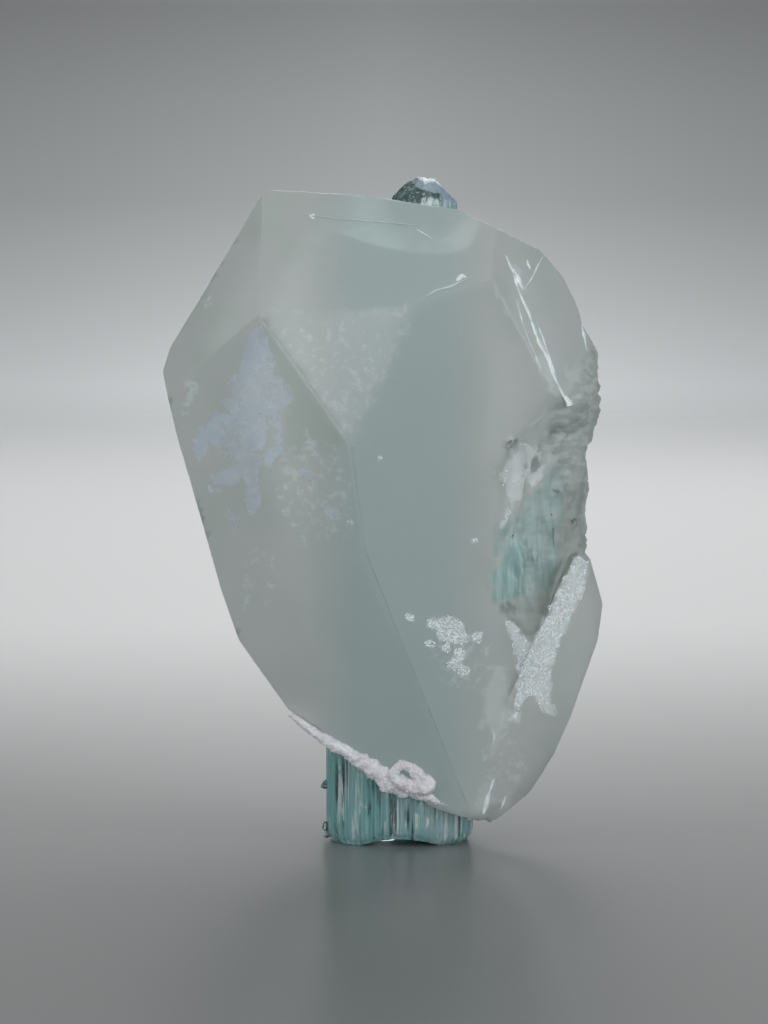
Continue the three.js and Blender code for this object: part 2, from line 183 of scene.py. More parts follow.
DARK_BANDS = [
    [(-12.2, 47.3), (-11.4, 46.3), (-10.1, 44.9), (-8.3, 42.3), (-7.0, 39.5), (-4.9, 36.9), (-6.3, 35.4),
     (-8.2, 35.8), (-9.8, 35.2), (-10.0, 38.3), (-9.3, 40.5), (-10.5, 42.0), (-11.3, 44.4)],
]
GREEN_PATCHES = [
    [(-18.5, 42.6), (-17.9, 41.3), (-17.8, 39.1), (-18.3, 39.3), (-18.9, 38.3), (-19.0, 40.2)],
    [(-17.3, 48.2), (-16.5, 49.7), (-16.1, 49.5), (-17.0, 47.6)],
    [(-9.1, 45.3), (-8.4, 46.6), (-7.7, 46.1), (-7.5, 44.7), (-8.3, 44.6)],
]
TEAL_WINDOW = [
    (8.7, 28.6), (9.8, 29.3), (11.4, 31.1), (12.7, 32.3), (13.7, 33.8), (14.3, 32.9), (14.2, 29.3),
    (14.1, 25.8), (13.0, 23.1), (11.4, 21.9), (8.8, 22.3), (8.3, 24.9),
]
TEAL_CORES = [
    [(9.5, 24.8), (9.4, 26.7), (10.0, 27.8), (10.6, 27.6), (10.9, 26.2), (10.6, 24.8)],
    [(8.4, 22.4), (8.4, 24.7), (9.3, 25.8), (10.6, 25.3), (10.7, 23.6), (10.0, 22.3)],
]
DARK_OVALS = [
    [(8.8, 21.9), (9.5, 22.1), (10.2, 21.6), (10.0, 21.2), (9.2, 21.2)],
    [(11.7, 35.0), (12.1, 35.2), (12.5, 34.6), (12.5, 33.8), (12.0, 33.3), (11.6, 33.8), (11.5, 34.5)],
]
# A painted brownish shadow on the right flank of the quartz
BROWN_SHADE = [
    (14.1, 31.0), (16.6, 33.0), (16.9, 25.7), (15.0, 22.1), (12.4, 18.4), (10.6, 19.9), (9.4, 21.8),
    (11.5, 23.0), (13.4, 25.7),
]
SNOW_PATCHES = [
    [(8.8, 33.4), (10.7, 36.1), (11.4, 36.0), (11.5, 34.4), (11.1, 32.9), (10.4, 30.8), (9.9, 30.8),
     (9.3, 32.0)],
    [(11.5, 35.9), (12.3, 35.3), (12.8, 34.1), (12.6, 33.0), (11.7, 32.0), (11.2, 32.1), (11.3, 32.8),
     (12.1, 33.4), (12.4, 34.1), (11.9, 35.1), (11.4, 35.3)],
    [(9.8, 30.6), (9.6, 29.3), (9.0, 28.8), (9.3, 30.2)],
]
PALE_ZONES = [
    [(9.9, 51.4), (10.4, 51.4), (10.8, 50.2), (10.9, 49.5), (10.4, 49.9)],
    [(12.2, 43.6), (13.0, 43.5), (13.7, 41.4), (13.4, 40.6), (12.8, 41.9)],
    [(14.7, 42.2), (15.7, 43.1), (16.4, 42.5), (16.1, 40.8), (15.3, 39.8), (14.7, 40.6)],
    [(8.0, 9.1), (8.2, 10.6), (8.6, 10.9), (8.6, 9.8)],
    [(7.0, 2.9), (7.4, 5.4), (8.2, 6.6), (8.7, 6.5), (8.3, 4.8), (7.6, 2.9)],
    [(8.8, 3.4), (9.2, 4.8), (9.7, 4.9), (9.5, 3.8)],
    [(7.4, 11.0), (7.6, 13.5), (8.1, 16.2), (9.3, 16.3), (10.0, 13.5), (9.4, 11.0)],
    [(12.3, 38.4), (13.0, 39.1), (13.1, 37.8), (12.5, 37.1)],
]
SUTURE = [
    [(15.6, 26.1), (16.9, 25.3), (15.9, 22.2), (14.6, 19.7), (13.8, 17.8), (13.3, 16.2),
     (11.5, 16.6), (11.7, 18.7), (12.8, 20.4), (14.1, 23.1), (15.0, 24.9)],
    [(9.3, 20.3), (10.1, 20.1), (11.1, 18.7), (12.3, 18.2), (13.1, 16.0), (12.4, 14.2),
     (11.5, 15.1), (10.4, 16.9)],
    [(10.4, 16.9), (13.4, 16.2), (13.3, 13.8), (13.9, 11.9), (12.8, 12.3), (11.7, 13.9),
     (10.9, 13.2), (10.4, 11.4), (9.7, 11.4), (10.2, 13.3)],
]
# The broken ground of the right flank, and the softened foot of the lower crystal
FLANK = [
    (13.7, 39.4), (12.3, 36.3), (12.9, 33.7), (11.4, 31.0), (9.2, 28.8), (8.4, 25.7), (8.6, 22.2),
    (10.6, 18.6), (12.8, 19.9), (15.4, 24.4), (16.9, 26.2), (21.0, 27.0), (21.0, 45.6), (17.2, 45.6),
    (15.4, 41.2),
]
SOFT_ZONES = [
    [(6.8, 14.3), (9.2, 13.4), (12.8, 9.0), (15.4, 6.3), (11.5, 1.4), (6.2, 2.3)],
    [(8.0, 34.0), (11.0, 38.0), (14.0, 42.0), (21.0, 46.0), (21.0, 27.0), (16.9, 26.2), (12.0, 20.0),
     (7.6, 22.0)],
]
# Middle and radius of each spot of the white cluster
SNOW_SPOTS = [
    (4.5, 19.6, 1.2), (0.9, 20.9, 0.3), (2.9, 20.3, 0.5), (2.6, 18.4, 0.35), (4.1, 18.0, 0.35),
    (5.2, 17.5, 0.6), (6.8, 18.9, 0.5), (3.7, 20.6, 0.35), (5.4, 18.9, 0.6), (5.6, 15.9, 0.45),
    (4.9, 16.6, 0.6), (-4.4, 29.4, 0.2), (-1.8, 35.1, 0.15), (6.6, 27.6, 0.2), (-7.7, 56.1, 0.25),
]
# Beds of white grains: outlines, spots, grains a square millimetre, range of radius, lean
SNOW_BEDS = [
    (SNOW_PATCHES, [], 90, (0.05, 0.12), None),
    (SUTURE, [], 90, (0.035, 0.09), 0.5),
    ([], SNOW_SPOTS, 80, (0.06, 0.15), None),
]
# Chipped edges: half width, then the points of the line
CHIPPED_EDGES = [
    (0.2, [(9.2, 52.8), (9.9, 51.2), (10.5, 49.3), (11.3, 47.6), (12.2, 45.0), (13.0, 43.6), (13.7, 41.7),
           (14.9, 39.3)]),
    (0.09, [(10.1, 49.2), (10.8, 46.5), (11.6, 44.4), (12.3, 42.9), (13.0, 41.4)]),
    (0.12, [(12.0, 46.8), (12.5, 45.6), (13.0, 44.1), (13.6, 42.4)]),
    (0.09, [(10.8, 49.6), (11.6, 50.5), (12.3, 51.9), (12.7, 52.5)]),
    (0.28, [(9.9, 51.5), (10.3, 50.8), (10.8, 49.6)]),
    (0.16, [(11.2, 52.2), (11.3, 51.8), (11.5, 51.4)]),
    (0.17, [(16.1, 46.5), (16.4, 45.3), (16.6, 44.1)]),
    (0.2, [(14.6, 40.3), (14.9, 39.7), (15.0, 39.1)]),
    (0.08, [(2.1, 49.0), (3.1, 49.6), (4.3, 49.9), (5.4, 50.4), (6.1, 50.7)]),
    (0.2, [(4.9, 50.4), (5.4, 50.9), (5.8, 50.7)]),
    (0.14, [(8.2, 10.7), (8.4, 9.9), (8.2, 9.1)]),
    (0.2, [(8.4, 6.3), (7.9, 4.9), (7.4, 3.0)]),
    (0.11, [(9.4, 4.7), (9.2, 4.0), (9.0, 3.4)]),
    (0.04, [(-8.8, 56.2), (-5.3, 55.8), (-1.4, 55.5), (2.0, 55.2)]),
    (0.08, [(1.4, 54.9), (1.9, 54.6), (2.9, 54.0)]),
]
# The crust's middle line and half width, as x, z and half width, and the ring of its knob
CRUST_LINE = [
    (-9.7, 12.0, 0.15), (-7.3, 10.2, 0.45), (-4.8, 8.7, 0.55), (-2.5, 7.2, 0.75), (-0.9, 6.1, 1.0),
    (0.9, 5.3, 0.8), (2.6, 4.6, 0.4), (4.4, 3.8, 0.16), (6.2, 2.6, 0.08),
]
KNOB_RING = [
    (-0.6, 6.5, 0.45), (-0.4, 7.2, 0.45), (0.3, 7.6, 0.4), (1.1, 7.3, 0.45), (1.7, 6.6, 0.6),
    (2.5, 5.7, 0.75), (1.3, 5.5, 0.65), (0.1, 5.8, 0.55),
]
# Depth of the crust's middle line at three places along it, as x and y
CRUST_DEPTH_AT = (-9.7, -5.7, 6.0)
CRUST_DEPTH = (-7.8, -7.5, -7.1)
# Small crystals on the prism's left side: place and radius
SIDE_CRYSTALS = [(-6.75, -1.4, 4.9, 0.5), (-6.6, -2.1, 1.3, 0.55), (-6.5, -2.7, 0.62, 0.42)]


class SpecimenSizes(bpy.types.PropertyGroup):
    """Sizes of the crystals and grains that a user would change."""

    prism_radius: FloatProperty(
        name="Prism Radius", description="Mean radius of the thick tourmaline prism",
        default=6.45 * MM, unit="LENGTH")
    prism_bulge: FloatProperty(
        name="Prism Bulge",
        description="How far the three corners of the prism stand out, as a share of its radius",
        default=0.085, subtype="FACTOR", min=0, max=0.3)
    prism_depth: FloatProperty(
        name="Prism Depth", description="How much deeper than wide the section of the prism is",
        default=1.08, min=0.8, max=1.3)
    striations: IntProperty(
        name="Striations", description="Number of grooves round the thick prism", default=84, min=8)
    striation_depth: FloatProperty(
        name="Striation Depth", description="Depth of the deepest groove", default=0.34 * MM, unit="LENGTH")
    spire_offset: FloatProperty(
        name="Spire Offset", description="Distance of the slim upper crystal from the prism's axis",
        default=2.15 * MM, unit="LENGTH")
    spire_radius: FloatProperty(
        name="Spire Radius", description="Mean radius of the slim upper crystal",
        default=2.95 * MM, unit="LENGTH")
    dome_rise: FloatProperty(
        name="Dome Rise", description="Height of the domed tip above the striated part",
        default=2.5 * MM, unit="LENGTH")
    quartz_grid: FloatProperty(
        name="Quartz Grid", description="Longest edge of the quartz's small triangles",
        default=0.9 * MM, min=0.3 * MM, unit="LENGTH")
    edge_wear: FloatProperty(
        name="Edge Wear", description="How far the quartz's edges are worn down",
        default=0.05 * MM, unit="LENGTH")
    seed: IntProperty(name="Seed", description="Seed of every random draw", default=11)


class SpecimenColours(bpy.types.PropertyGroup):
    """Colours and clarity of the minerals."""

    tourmaline: FloatVectorProperty(
        name="Tourmaline", description="Colour left in light that has crossed the tourmaline",
        default=(0.3, 0.68, 0.67), subtype="COLOR", min=0, max=1)
    tourmaline_depth: FloatProperty(
        name="Tourmaline Depth", description="Absorption in the tourmaline, per metre", default=110)
    quartz: FloatVectorProperty(
        name="Quartz", description="Colour left in light that has crossed the quartz",
        default=(0.6, 0.74, 0.72), subtype="COLOR", min=0, max=1)
    quartz_depth: FloatProperty(
        name="Quartz Depth", description="Absorption in the quartz, per metre", default=14)
    quartz_haze: FloatProperty(
        name="Quartz Haze", description="Roughness of the hazy quartz faces", default=0.42, subtype="FACTOR")
    crust: FloatVectorProperty(
        name="Crust", description="Colour of the granular crust",
        default=(0.74, 0.72, 0.76), subtype="COLOR", min=0, max=1)
    floor: FloatVectorProperty(
        name="Floor", description="Colour of the floor",
        default=(0.25, 0.255, 0.255), subtype="COLOR", min=0, max=1)


def sizes():
    """The sizes set in the panel."""
    return bpy.context.scene.specimen_sizes


def colours():
    """The colours set in the panel."""
    return bpy.context.scene.specimen_colours


# Mesh helpers

def mesh_object(name, points, faces, smooth=True):
    """Puts an array of points and a list of faces into a new object at the origin."""
    mesh = bpy.data.meshes.new(name)
    mesh.from_pydata(points.reshape(-1, 3).tolist(), [], faces)
    mesh.polygons.foreach_set("use_smooth", np.full(len(mesh.polygons), smooth))
    mesh.validate()
    mesh.update()
    piece = bpy.data.objects.new(name, mesh)
    bpy.context.scene.collection.objects.link(piece)
    return piece


def read_values(items, attribute, width, kind=float):
    """One attribute of every item of a mesh as an array, with a row of width values for each."""
    values = np.empty(len(items) * width, kind)
    items.foreach_get(attribute, values)
    return values.reshape(-1, width)


def from_axis(points):
    """Turns metres in the frame into millimetres from the prism's axis, as three arrays."""
    return ((points - (*PRISM_AXIS, 0)) / MM).T


def ring_faces(rings, around):
    """Quads between successive rings of points, each ring closed on itself."""
    ring, step = np.meshgrid(np.arange(rings - 1), np.arange(around), indexing="ij")
    here = ring * around + step
    beside = ring * around + (step + 1) % around
    return np.stack([here, beside, beside + around, here + around], -1).reshape(-1, 4)


def finish_piece(piece, material, slot, *nodes):
    """Gives a piece its material, makes it ride on the root, and hides the CAD nodes it stands for."""
    piece.data.materials.clear()
    piece.data.materials.append(material)
    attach(piece, "root")
    if nodes:
        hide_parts(*nodes)
    return piece


# Fields over the crystal

def noise_field(points, cell, seed):
    """Smooth noise from -1 to 1: random values at the corners of a lattice, blended across each cell."""
    place = points / cell
    base = np.floor(place).astype(np.int64)
    part = place - base
    part = part * part * (3 - 2 * part)
    total = np.zeros(len(points))
    for corner in itertools.product((0, 1), repeat=3):
        weight = np.prod(np.where(corner, part, 1 - part), axis=1)
        mixed = ((base + corner) * (73856093, 19349663, 83492791)).sum(axis=1) + seed * 7919
        mixed = (mixed ^ (mixed >> 13)) * 1274126177
        total += weight * (((mixed >> 8) & 0xFFFF) / 32767.5 - 1)
    return total


def inside(x, z, outline):
    """Signed distance in millimetres to a closed outline, positive inside it: the least distance to a
    side, with its sign from how many sides lie to the right."""
    corners = np.array(outline, float)
    gap = np.full(x.shape, np.inf)
    within = np.zeros(x.shape, bool)
    for (ax, az), (bx, bz) in zip(corners, np.roll(corners, -1, axis=0)):
        along = ((x - ax) * (bx - ax) + (z - az) * (bz - az)) / ((bx - ax) ** 2 + (bz - az) ** 2)
        share = np.clip(along, 0, 1)
        gap = np.minimum(gap, np.hypot(x - ax - share * (bx - ax), z - az - share * (bz - az)))
        level = (z - az) / np.where(bz == az, 1, bz - az)
        within ^= ((az > z) != (bz > z)) & (x < ax + level * (bx - ax))
    return np.where(within, gap, -gap)


def inside_any(x, z, outlines):
    """Greatest signed distance to any of several outlines."""
    return np.max([inside(x, z, outline) for outline in outlines], axis=0)


def near_spots(x, z, spots):
    """Signed distance in millimetres to a set of round spots, positive inside one."""
    return np.max([radius - np.hypot(x - sx, z - sz) for sx, sz, radius in spots], axis=0)


def shards(local, low, high, count, tilt, levels, stretch, random):
    """Height over each place of broken ground. Each shard is the ground nearest to one of many random
    seats, and is a plane tilted and raised by random amounts."""
    seats = random.uniform(low, high, (count, 3))
    tilts = random.uniform(-tilt, tilt, (count, 3))
    heights = random.uniform(*levels, count)
    nearest = np.concatenate([
        (((part[:, None] - seats[None]) * stretch) ** 2).sum(axis=2).argmin(axis=1)
        for part in np.array_split(local, max(1, len(local) // 4000))])
    return heights[nearest] + ((local - seats[nearest]) * tilts[nearest]).sum(axis=1)


def quartz_triangles():
    """Corners of the CAD quartz's triangles, in millimetres from the prism's axis."""
    mesh = frame["nodes"]["quartz_crystal"].data
    mesh.calc_loop_triangles()
    corners = read_values(mesh.loop_triangles, "vertices", 3, np.int64)
    return from_axis(read_values(mesh.vertices, "co", 3)).T[corners]


def drape(x, z):
    """Depth in millimetres of the front of the quartz over each place: the least y of its triangles
    there, by their barycentric shares, or nan where there is none."""
    a, b, c = np.moveaxis(quartz_triangles(), 1, 0)
    area = (b[:, 0] - a[:, 0]) * (c[:, 2] - a[:, 2]) - (c[:, 0] - a[:, 0]) * (b[:, 2] - a[:, 2])
    keep = np.abs(area) > 1e-9
    a, b, c, area = a[keep], b[keep], c[keep], area[keep]
    depth = np.full(x.shape, np.nan)
    for part in np.array_split(np.arange(len(x)), max(1, len(x) // 400)):
        px, pz = x[part, None], z[part, None]
        v = ((px - a[:, 0]) * (c[:, 2] - a[:, 2]) - (c[:, 0] - a[:, 0]) * (pz - a[:, 2])) / area
        w = ((b[:, 0] - a[:, 0]) * (pz - a[:, 2]) - (px - a[:, 0]) * (b[:, 2] - a[:, 2])) / area
        y = a[:, 1] + v * (b[:, 1] - a[:, 1]) + w * (c[:, 1] - a[:, 1])
        y = np.where((v >= 0) & (w >= 0) & (v + w <= 1), y, np.inf).min(axis=1)
        depth[part] = np.where(np.isfinite(y), y, np.nan)
    return depth


def to_frame(points):
    """Turns millimetres from the prism's axis into metres in the frame."""
    return points * MM + (*PRISM_AXIS, 0)


def icosahedron():
    """Corners and faces of a twenty-sided solid of radius one, from three golden rectangles."""
    golden = (1 + math.sqrt(5)) / 2
    corners = []
    for first, second in itertools.product((-1, 1), (-golden, golden)):
        corners += [(first, second, 0), (0, first, second), (second, 0, first)]
    corners = np.array(corners) / math.hypot(1, golden)
    shape = bmesh.new()
    for corner in corners:
        shape.verts.new(corner)
    bmesh.ops.convex_hull(shape, input=shape.verts)
    shape.verts.index_update()
    corners = np.array([vert.co[:] for vert in shape.verts])
    faces = np.array([[vert.index for vert in face.verts] for face in shape.faces])
    shape.free()
    a, b, c = corners[faces].transpose(1, 0, 2)
    wrong = (np.cross(b - a, c - a) * a).sum(axis=1) < 0
    faces[wrong] = faces[wrong][:, ::-1]
    return corners, faces


def grain_cloud(centres, radius, random, squash=(0.5, 1.0), lean=None):
    """Points and faces of many small grains: each is a twenty-sided solid, squashed by its own random
    shares, turned by a random rotation, and moved to its centre. With lean, each grain is drawn out
    along z and then turned by about that angle round y."""
    corners, faces = icosahedron()
    count = len(centres)
    shares = random.uniform(*squash, (count, 3))
    if lean is not None:
        shares[:, 2] = random.uniform(1.2, 2.4, count)
    turn = random.normal(size=(count, 4))
    if lean is not None:
        turn = 0.12 * turn + np.array([math.cos(lean / 2), 0, math.sin(lean / 2), 0])
    w, x, y, z = (turn / np.linalg.norm(turn, axis=1, keepdims=True)).T
    matrix = np.stack([
        1 - 2 * (y * y + z * z), 2 * (x * y - w * z), 2 * (x * z + w * y),
        2 * (x * y + w * z), 1 - 2 * (x * x + z * z), 2 * (y * z - w * x),
        2 * (x * z - w * y), 2 * (y * z + w * x), 1 - 2 * (x * x + y * y)], -1).reshape(-1, 3, 3)
    local = corners[None] * (shares * radius[:, None])[:, None]
    points = np.einsum("nij,nkj->nki", matrix, local) + centres[:, None]
    numbers = faces[None] + (np.arange(count) * len(corners))[:, None, None]
    return points.reshape(-1, 3), numbers.reshape(-1, 3).tolist()


def join_parts(parts):
    """One array of points and one list of faces from several, each face with its numbers moved on."""
    points, faces, shift = [], [], 0
    for some_points, some_faces in parts:
        points.append(some_points)
        faces += [[number + shift for number in face] for face in some_faces]
        shift += len(some_points)
    return np.concatenate(points), faces


# Material helpers

class Finish:
    """A material with one Principled shader, and short calls that add and join its nodes."""

    def __init__(self, name):
        self.material = bpy.data.materials.new(name)
        self.material.use_nodes = True
        self.tree = self.material.node_tree
        self.shader = self.tree.nodes["Principled BSDF"]
        self.output = self.tree.nodes["Material Output"]
        self.coordinates = self.tree.nodes.new("ShaderNodeTexCoord").outputs["Object"]

    def add(self, kind, values=(), **settings):
        """Adds a node, sets its properties, and fills its inputs by name with values or sockets."""
        node = self.tree.nodes.new(kind)
        for key, value in settings.items():
            setattr(node, key, value)
        for key, value in dict(values).items():
            self.feed(node.inputs[key], value)
        return node

    def feed(self, socket, value):
        """Links a socket to an input, or sets the input to a value."""
        if isinstance(value, bpy.types.NodeSocket):
            self.tree.links.new(value, socket)
        else:
            socket.default_value = value

    def set(self, **values):
        """Feeds the shader's own inputs. An underscore stands for the space in an input's name."""
        for key, value in values.items():
            self.feed(self.shader.inputs[key.replace("_", " ")], value)

    def noise(self, scale, detail=3.0, roughness=0.55, stretch=(1, 1, 1)):
        """Noise in metres, between 0 and 1; stretch scales each axis of its coordinates."""
        placed = self.add("ShaderNodeMapping", {"Vector": self.coordinates, "Scale": stretch})
        values = {"Vector": placed.outputs[0], "Scale": scale, "Detail": detail, "Roughness": roughness}
        return self.add("ShaderNodeTexNoise", values).outputs["Fac"]

    def ramp(self, value, low, high, start=0.0, end=1.0):
        """Runs smoothly from start to end while value goes from low to high."""
        values = {"Value": value, "From Min": low, "From Max": high, "To Min": start, "To Max": end}
        return self.add("ShaderNodeMapRange", values, interpolation_type="SMOOTHSTEP").outputs[0]

    def math(self, operation, first, second):
        """One sum, product or other operation on two values."""
        return self.add("ShaderNodeMath", {0: first, 1: second}, operation=operation).outputs[0]

    def mix(self, share, first, second):
        """Colour between first and second."""
        node = self.add("ShaderNodeMix", data_type="RGBA")
        self.feed(node.inputs[0], share)
        self.feed(node.inputs[6], first)
        self.feed(node.inputs[7], second)
        return node.outputs[2]

    def bump(self, height, distance, strength=1.0, under=None):
        """Tilts the surface by a height, on top of another bump if there is one under it."""
        values = {"Height": height, "Distance": distance, "Strength": strength}
        if under is not None:
            values["Normal"] = under
        return self.add("ShaderNodeBump", values).outputs[0]

    def absorb(self, colour, density):
        """Colours light by how far it goes through the mineral."""
        volume = self.add("ShaderNodeVolumeAbsorption", {"Color": (*colour, 1), "Density": density})
        self.tree.links.new(volume.outputs[0], self.output.inputs["Volume"])


def quartz_finish():
    """Hazy quartz: half see-through, with a frosted skin. The veils, patches and stains on it, and a painted
    shadow on its right flank, come from fields stored on its points, whose edges are broken up by noise."""
    finish = Finish("Hazy Quartz")
    cloud = finish.noise(150, 4)
    speckle = finish.noise(1500, 4, 0.65)
    ragged = finish.noise(900, 3, 0.6)
    grain = finish.noise(5200, 2)
    growth = finish.noise(700, 5, 0.6, (1, 1, 2.4))
    strands = finish.noise(1500, 3, 0.6, (1, 1, 0.12))
    finish.absorb(colours().quartz, colours().quartz_depth)

    def patch(name, soft, wander):
        """Share of a mark: its field, moved by noise, over a soft rim."""
        field = finish.add("ShaderNodeAttribute", attribute_name=name).outputs["Fac"]
        shift = finish.ramp(ragged, 0.3, 0.7, -wander, wander)
        return finish.ramp(finish.math("ADD", field, shift), -soft, soft)

    def specks(mask, low, high, share):
        """The part of a mask where fine noise is high."""
        return finish.math("MULTIPLY", finish.math("MULTIPLY", mask, finish.ramp(speckle, low, high)), share)

    def lay(body, name, soft, wander, share, colour):
        """Lays a share of a mark's colour over the body."""
        return finish.mix(finish.math("MULTIPLY", patch(name, soft, wander), share), body, colour)

    blue = patch("blue", 0.1, 0.5)
    tint = finish.ramp(finish.noise(330, 3), 0.35, 0.62, 0.45, 0.95)
    chips = finish.mix(finish.ramp(growth, 0.42, 0.6), (0.42, 0.48, 0.45, 1), (0.78, 0.85, 0.83, 1))
    teal = finish.mix(finish.ramp(strands, 0.4, 0.6), (0.26, 0.5, 0.5, 1), (0.5, 0.8, 0.78, 1))
    snow = finish.math("MULTIPLY", patch("snow", 0.15, 0.25), finish.ramp(speckle, 0.3, 0.5, 0.7, 1.0))
    body = finish.mix(finish.ramp(cloud, 0.35, 0.65), (0.66, 0.72, 0.7, 1), (0.7, 0.735, 0.725, 1))
    body = lay(body, "prism", 2.5, 0.6, 0.7, (0.57, 0.72, 0.715, 1))
    body = lay(body, "shade", 0.5, 0.3, 0.75, (0.56, 0.65, 0.6, 1))
    body = lay(body, "veil", 0.5, 0.5, 0.55, (0.76, 0.82, 0.83, 1))
    body = finish.mix(specks(patch("mottled", 0.5, 0.5), 0.5, 0.66, 0.6), body, (0.93, 0.98, 1.0, 1))
    body = lay(body, "pale", 0.5, 0.4, 0.7, (0.85, 0.92, 0.92, 1))
    body = finish.mix(finish.math("MULTIPLY", blue, tint), body, (0.72, 0.83, 0.96, 1))
    body = finish.mix(specks(blue, 0.5, 0.62, 0.5), body, (0.86, 0.94, 1.0, 1))
    body = finish.mix(specks(patch("green", 0.12, 0.3), 0.4, 0.56, 0.9), body, (0.84, 0.96, 0.92, 1))
    body = lay(body, "flank", 0.8, 0.4, 0.55, chips)
    # Painted shade: a brownish shadow laid over the right flank
    body = lay(body, "brown", 0.9, 0.5, 0.75, (0.42, 0.47, 0.44, 1))
    body = lay(body, "teal", 0.9, 0.5, 0.5, teal)
    body = lay(body, "core", 0.5, 0.3, 0.75, teal)
    body = lay(body, "oval", 0.25, 0.15, 0.7, (0.3, 0.37, 0.35, 1))
    body = finish.mix(snow, body, (0.95, 0.99, 1.0, 1))
    haze = colours().quartz_haze
    skin = finish.ramp(cloud, 0.3, 0.7, haze - 0.08, haze + 0.08)
    finish.set(
        Base_Color=body, IOR=1.544, Transmission_Weight=0.5,
        Roughness=finish.math("SUBTRACT", skin, finish.math("MULTIPLY", blue, 0.16)),
        Normal=finish.bump(grain, 0.01 * MM, 0.25, finish.bump(growth, 0.08 * MM, 0.2)))
    return finish.material


def snow_finish():
    """White, sugary grains of healed or shattered quartz."""
    finish = Finish("Snowy Quartz")
    tone = finish.noise(1800, 3)
    finish.set(
        Base_Color=finish.mix(finish.ramp(tone, 0.35, 0.65), (0.72, 0.83, 0.87, 1), (0.93, 0.98, 1.0, 1)),
        Roughness=0.22, IOR=1.544)
    return finish.material


def tourmaline_finish():
    """Blue-green tourmaline: glassy, deep in colour, with fine painted highlights and painted shade in the
    grooves along the prism, painted highlights on stripes of the slim crystal, and a paler, bluer skin on
    the right of its tip."""
    finish = Finish("Blue Green Tourmaline")
    lines = finish.noise(2600, 3, 0.6, (1, 1, 0.03))
    glint_streaks = finish.noise(2100, 5, 0.7, (1, 1, 0.04))
    breaks = finish.noise(420, 3, 0.6, (1, 1, 0.6))
    broad = finish.noise(260, 3, 0.6, (1, 1, 0.15))
    mottle = finish.noise(2300, 4, 0.7)
    cloud = finish.noise(700, 3)
    groove = finish.add("ShaderNodeAttribute", attribute_name="groove").outputs["Fac"]
    split = finish.add("ShaderNodeSeparateXYZ", {0: finish.coordinates})
    across, height = split.outputs["X"], split.outputs["Z"]

    def both(first, second):
        return finish.math("MULTIPLY", first, second)

    body = finish.mix(finish.ramp(broad, 0.38, 0.6), (0.26, 0.62, 0.62, 1), (0.42, 0.62, 0.65, 1))
    # Painted shade: the deeper a point lies in a groove, the darker it is painted, in patches broken by
    # noise.
    groove_shade = both(finish.ramp(groove, 0.3, 0.8), finish.ramp(breaks, 0.35, 0.55, 0.25, 1.0))
    body = finish.mix(groove_shade, body, (0.005, 0.05, 0.055, 1))
    # Painted highlights: short pale streaks along the prism stand in for glints off its striations.
    bright = both(finish.ramp(glint_streaks, 0.5, 0.57), finish.ramp(breaks, 0.47, 0.52))
    body = finish.mix(bright, body, (0.92, 1.0, 1.0, 1))
    foot = both(finish.ramp(height, 1.9 * MM, 0.5 * MM, 0.0, 0.7), finish.ramp(mottle, 0.42, 0.6))
    body = finish.mix(foot, body, (0.5, 0.68, 0.7, 1))
    spire = PRISM_AXIS[0] + sizes().spire_offset
    ragged = finish.ramp(cloud, 0.3, 0.7, -0.35 * MM, 0.35 * MM)
    slope = finish.math("ADD", both(across, 0.5), finish.math("ADD", height, ragged))
    ridge = TIP_HEIGHT - 0.6 * MM + 0.5 * (spire - 1.05 * MM)
    tip = finish.ramp(height, TIP_HEIGHT - 2.6 * MM, TIP_HEIGHT - 2.4 * MM)
    shadow = finish.mix(finish.ramp(mottle, 0.5, 0.62), (0.01, 0.035, 0.035, 1), (0.3, 0.46, 0.45, 1))
    body = finish.mix(both(tip, 0.85), body, shadow)
    # Painted highlights: pale stripes on the slim crystal just below its tip.
    glint_bars = both(finish.ramp(height, TIP_HEIGHT - 1.75 * MM, TIP_HEIGHT - 1.95 * MM),
                both(tip, finish.ramp(across, spire - 0.7 * MM, spire - 0.5 * MM)))
    body = finish.mix(both(glint_bars, finish.ramp(glint_streaks, 0.45, 0.52)), body, (0.85, 0.95, 0.97, 1))
    lobe = finish.math("MAXIMUM", finish.ramp(slope, ridge - 0.04 * MM, ridge + 0.1 * MM),
                       finish.ramp(across, spire + 1.5 * MM, spire + 1.7 * MM))
    blush = finish.mix(finish.ramp(cloud, 0.35, 0.65), (0.4, 0.5, 0.62, 1), (0.56, 0.68, 0.8, 1))
    body = finish.mix(both(both(tip, lobe), 0.95), body, blush)
    finish.absorb(colours().tourmaline, colours().tourmaline_depth)
    finish.set(
        Base_Color=body, IOR=1.63, Transmission_Weight=0.5,
        Roughness=finish.ramp(cloud, 0.35, 0.75, 0.06, 0.22),
        Normal=finish.bump(lines, 0.05 * MM, 0.5))
    return finish.material


def crust_finish():
    """Pinkish white granular crust, darker between its grains."""
    finish = Finish("Granular Crust")
    cells = finish.add("ShaderNodeTexVoronoi", {"Vector": finish.coordinates, "Scale": 3600.0})
    stain = finish.noise(800, 4)
    pale = (*colours().crust, 1)
    finish.set(
        Base_Color=finish.mix(finish.ramp(stain, 0.4, 0.7), pale, (0.85, 0.9, 0.93, 1)),
        Roughness=0.62, IOR=1.53,
        Normal=finish.bump(cells.outputs["Distance"], 0.06 * MM, 0.6))
    return finish.material


# Tourmaline

def groove_set(count, deepest, random):
    """Angles, half widths and depths of the striations round a prism, unevenly spaced."""
    pitch = 2 * np.pi / count
    angle = (np.arange(count) + random.uniform(-0.42, 0.42, count)) * pitch
    return angle, random.uniform(0.3, 0.72, count) * pitch, random.uniform(0.3, 1.0, count) * deepest


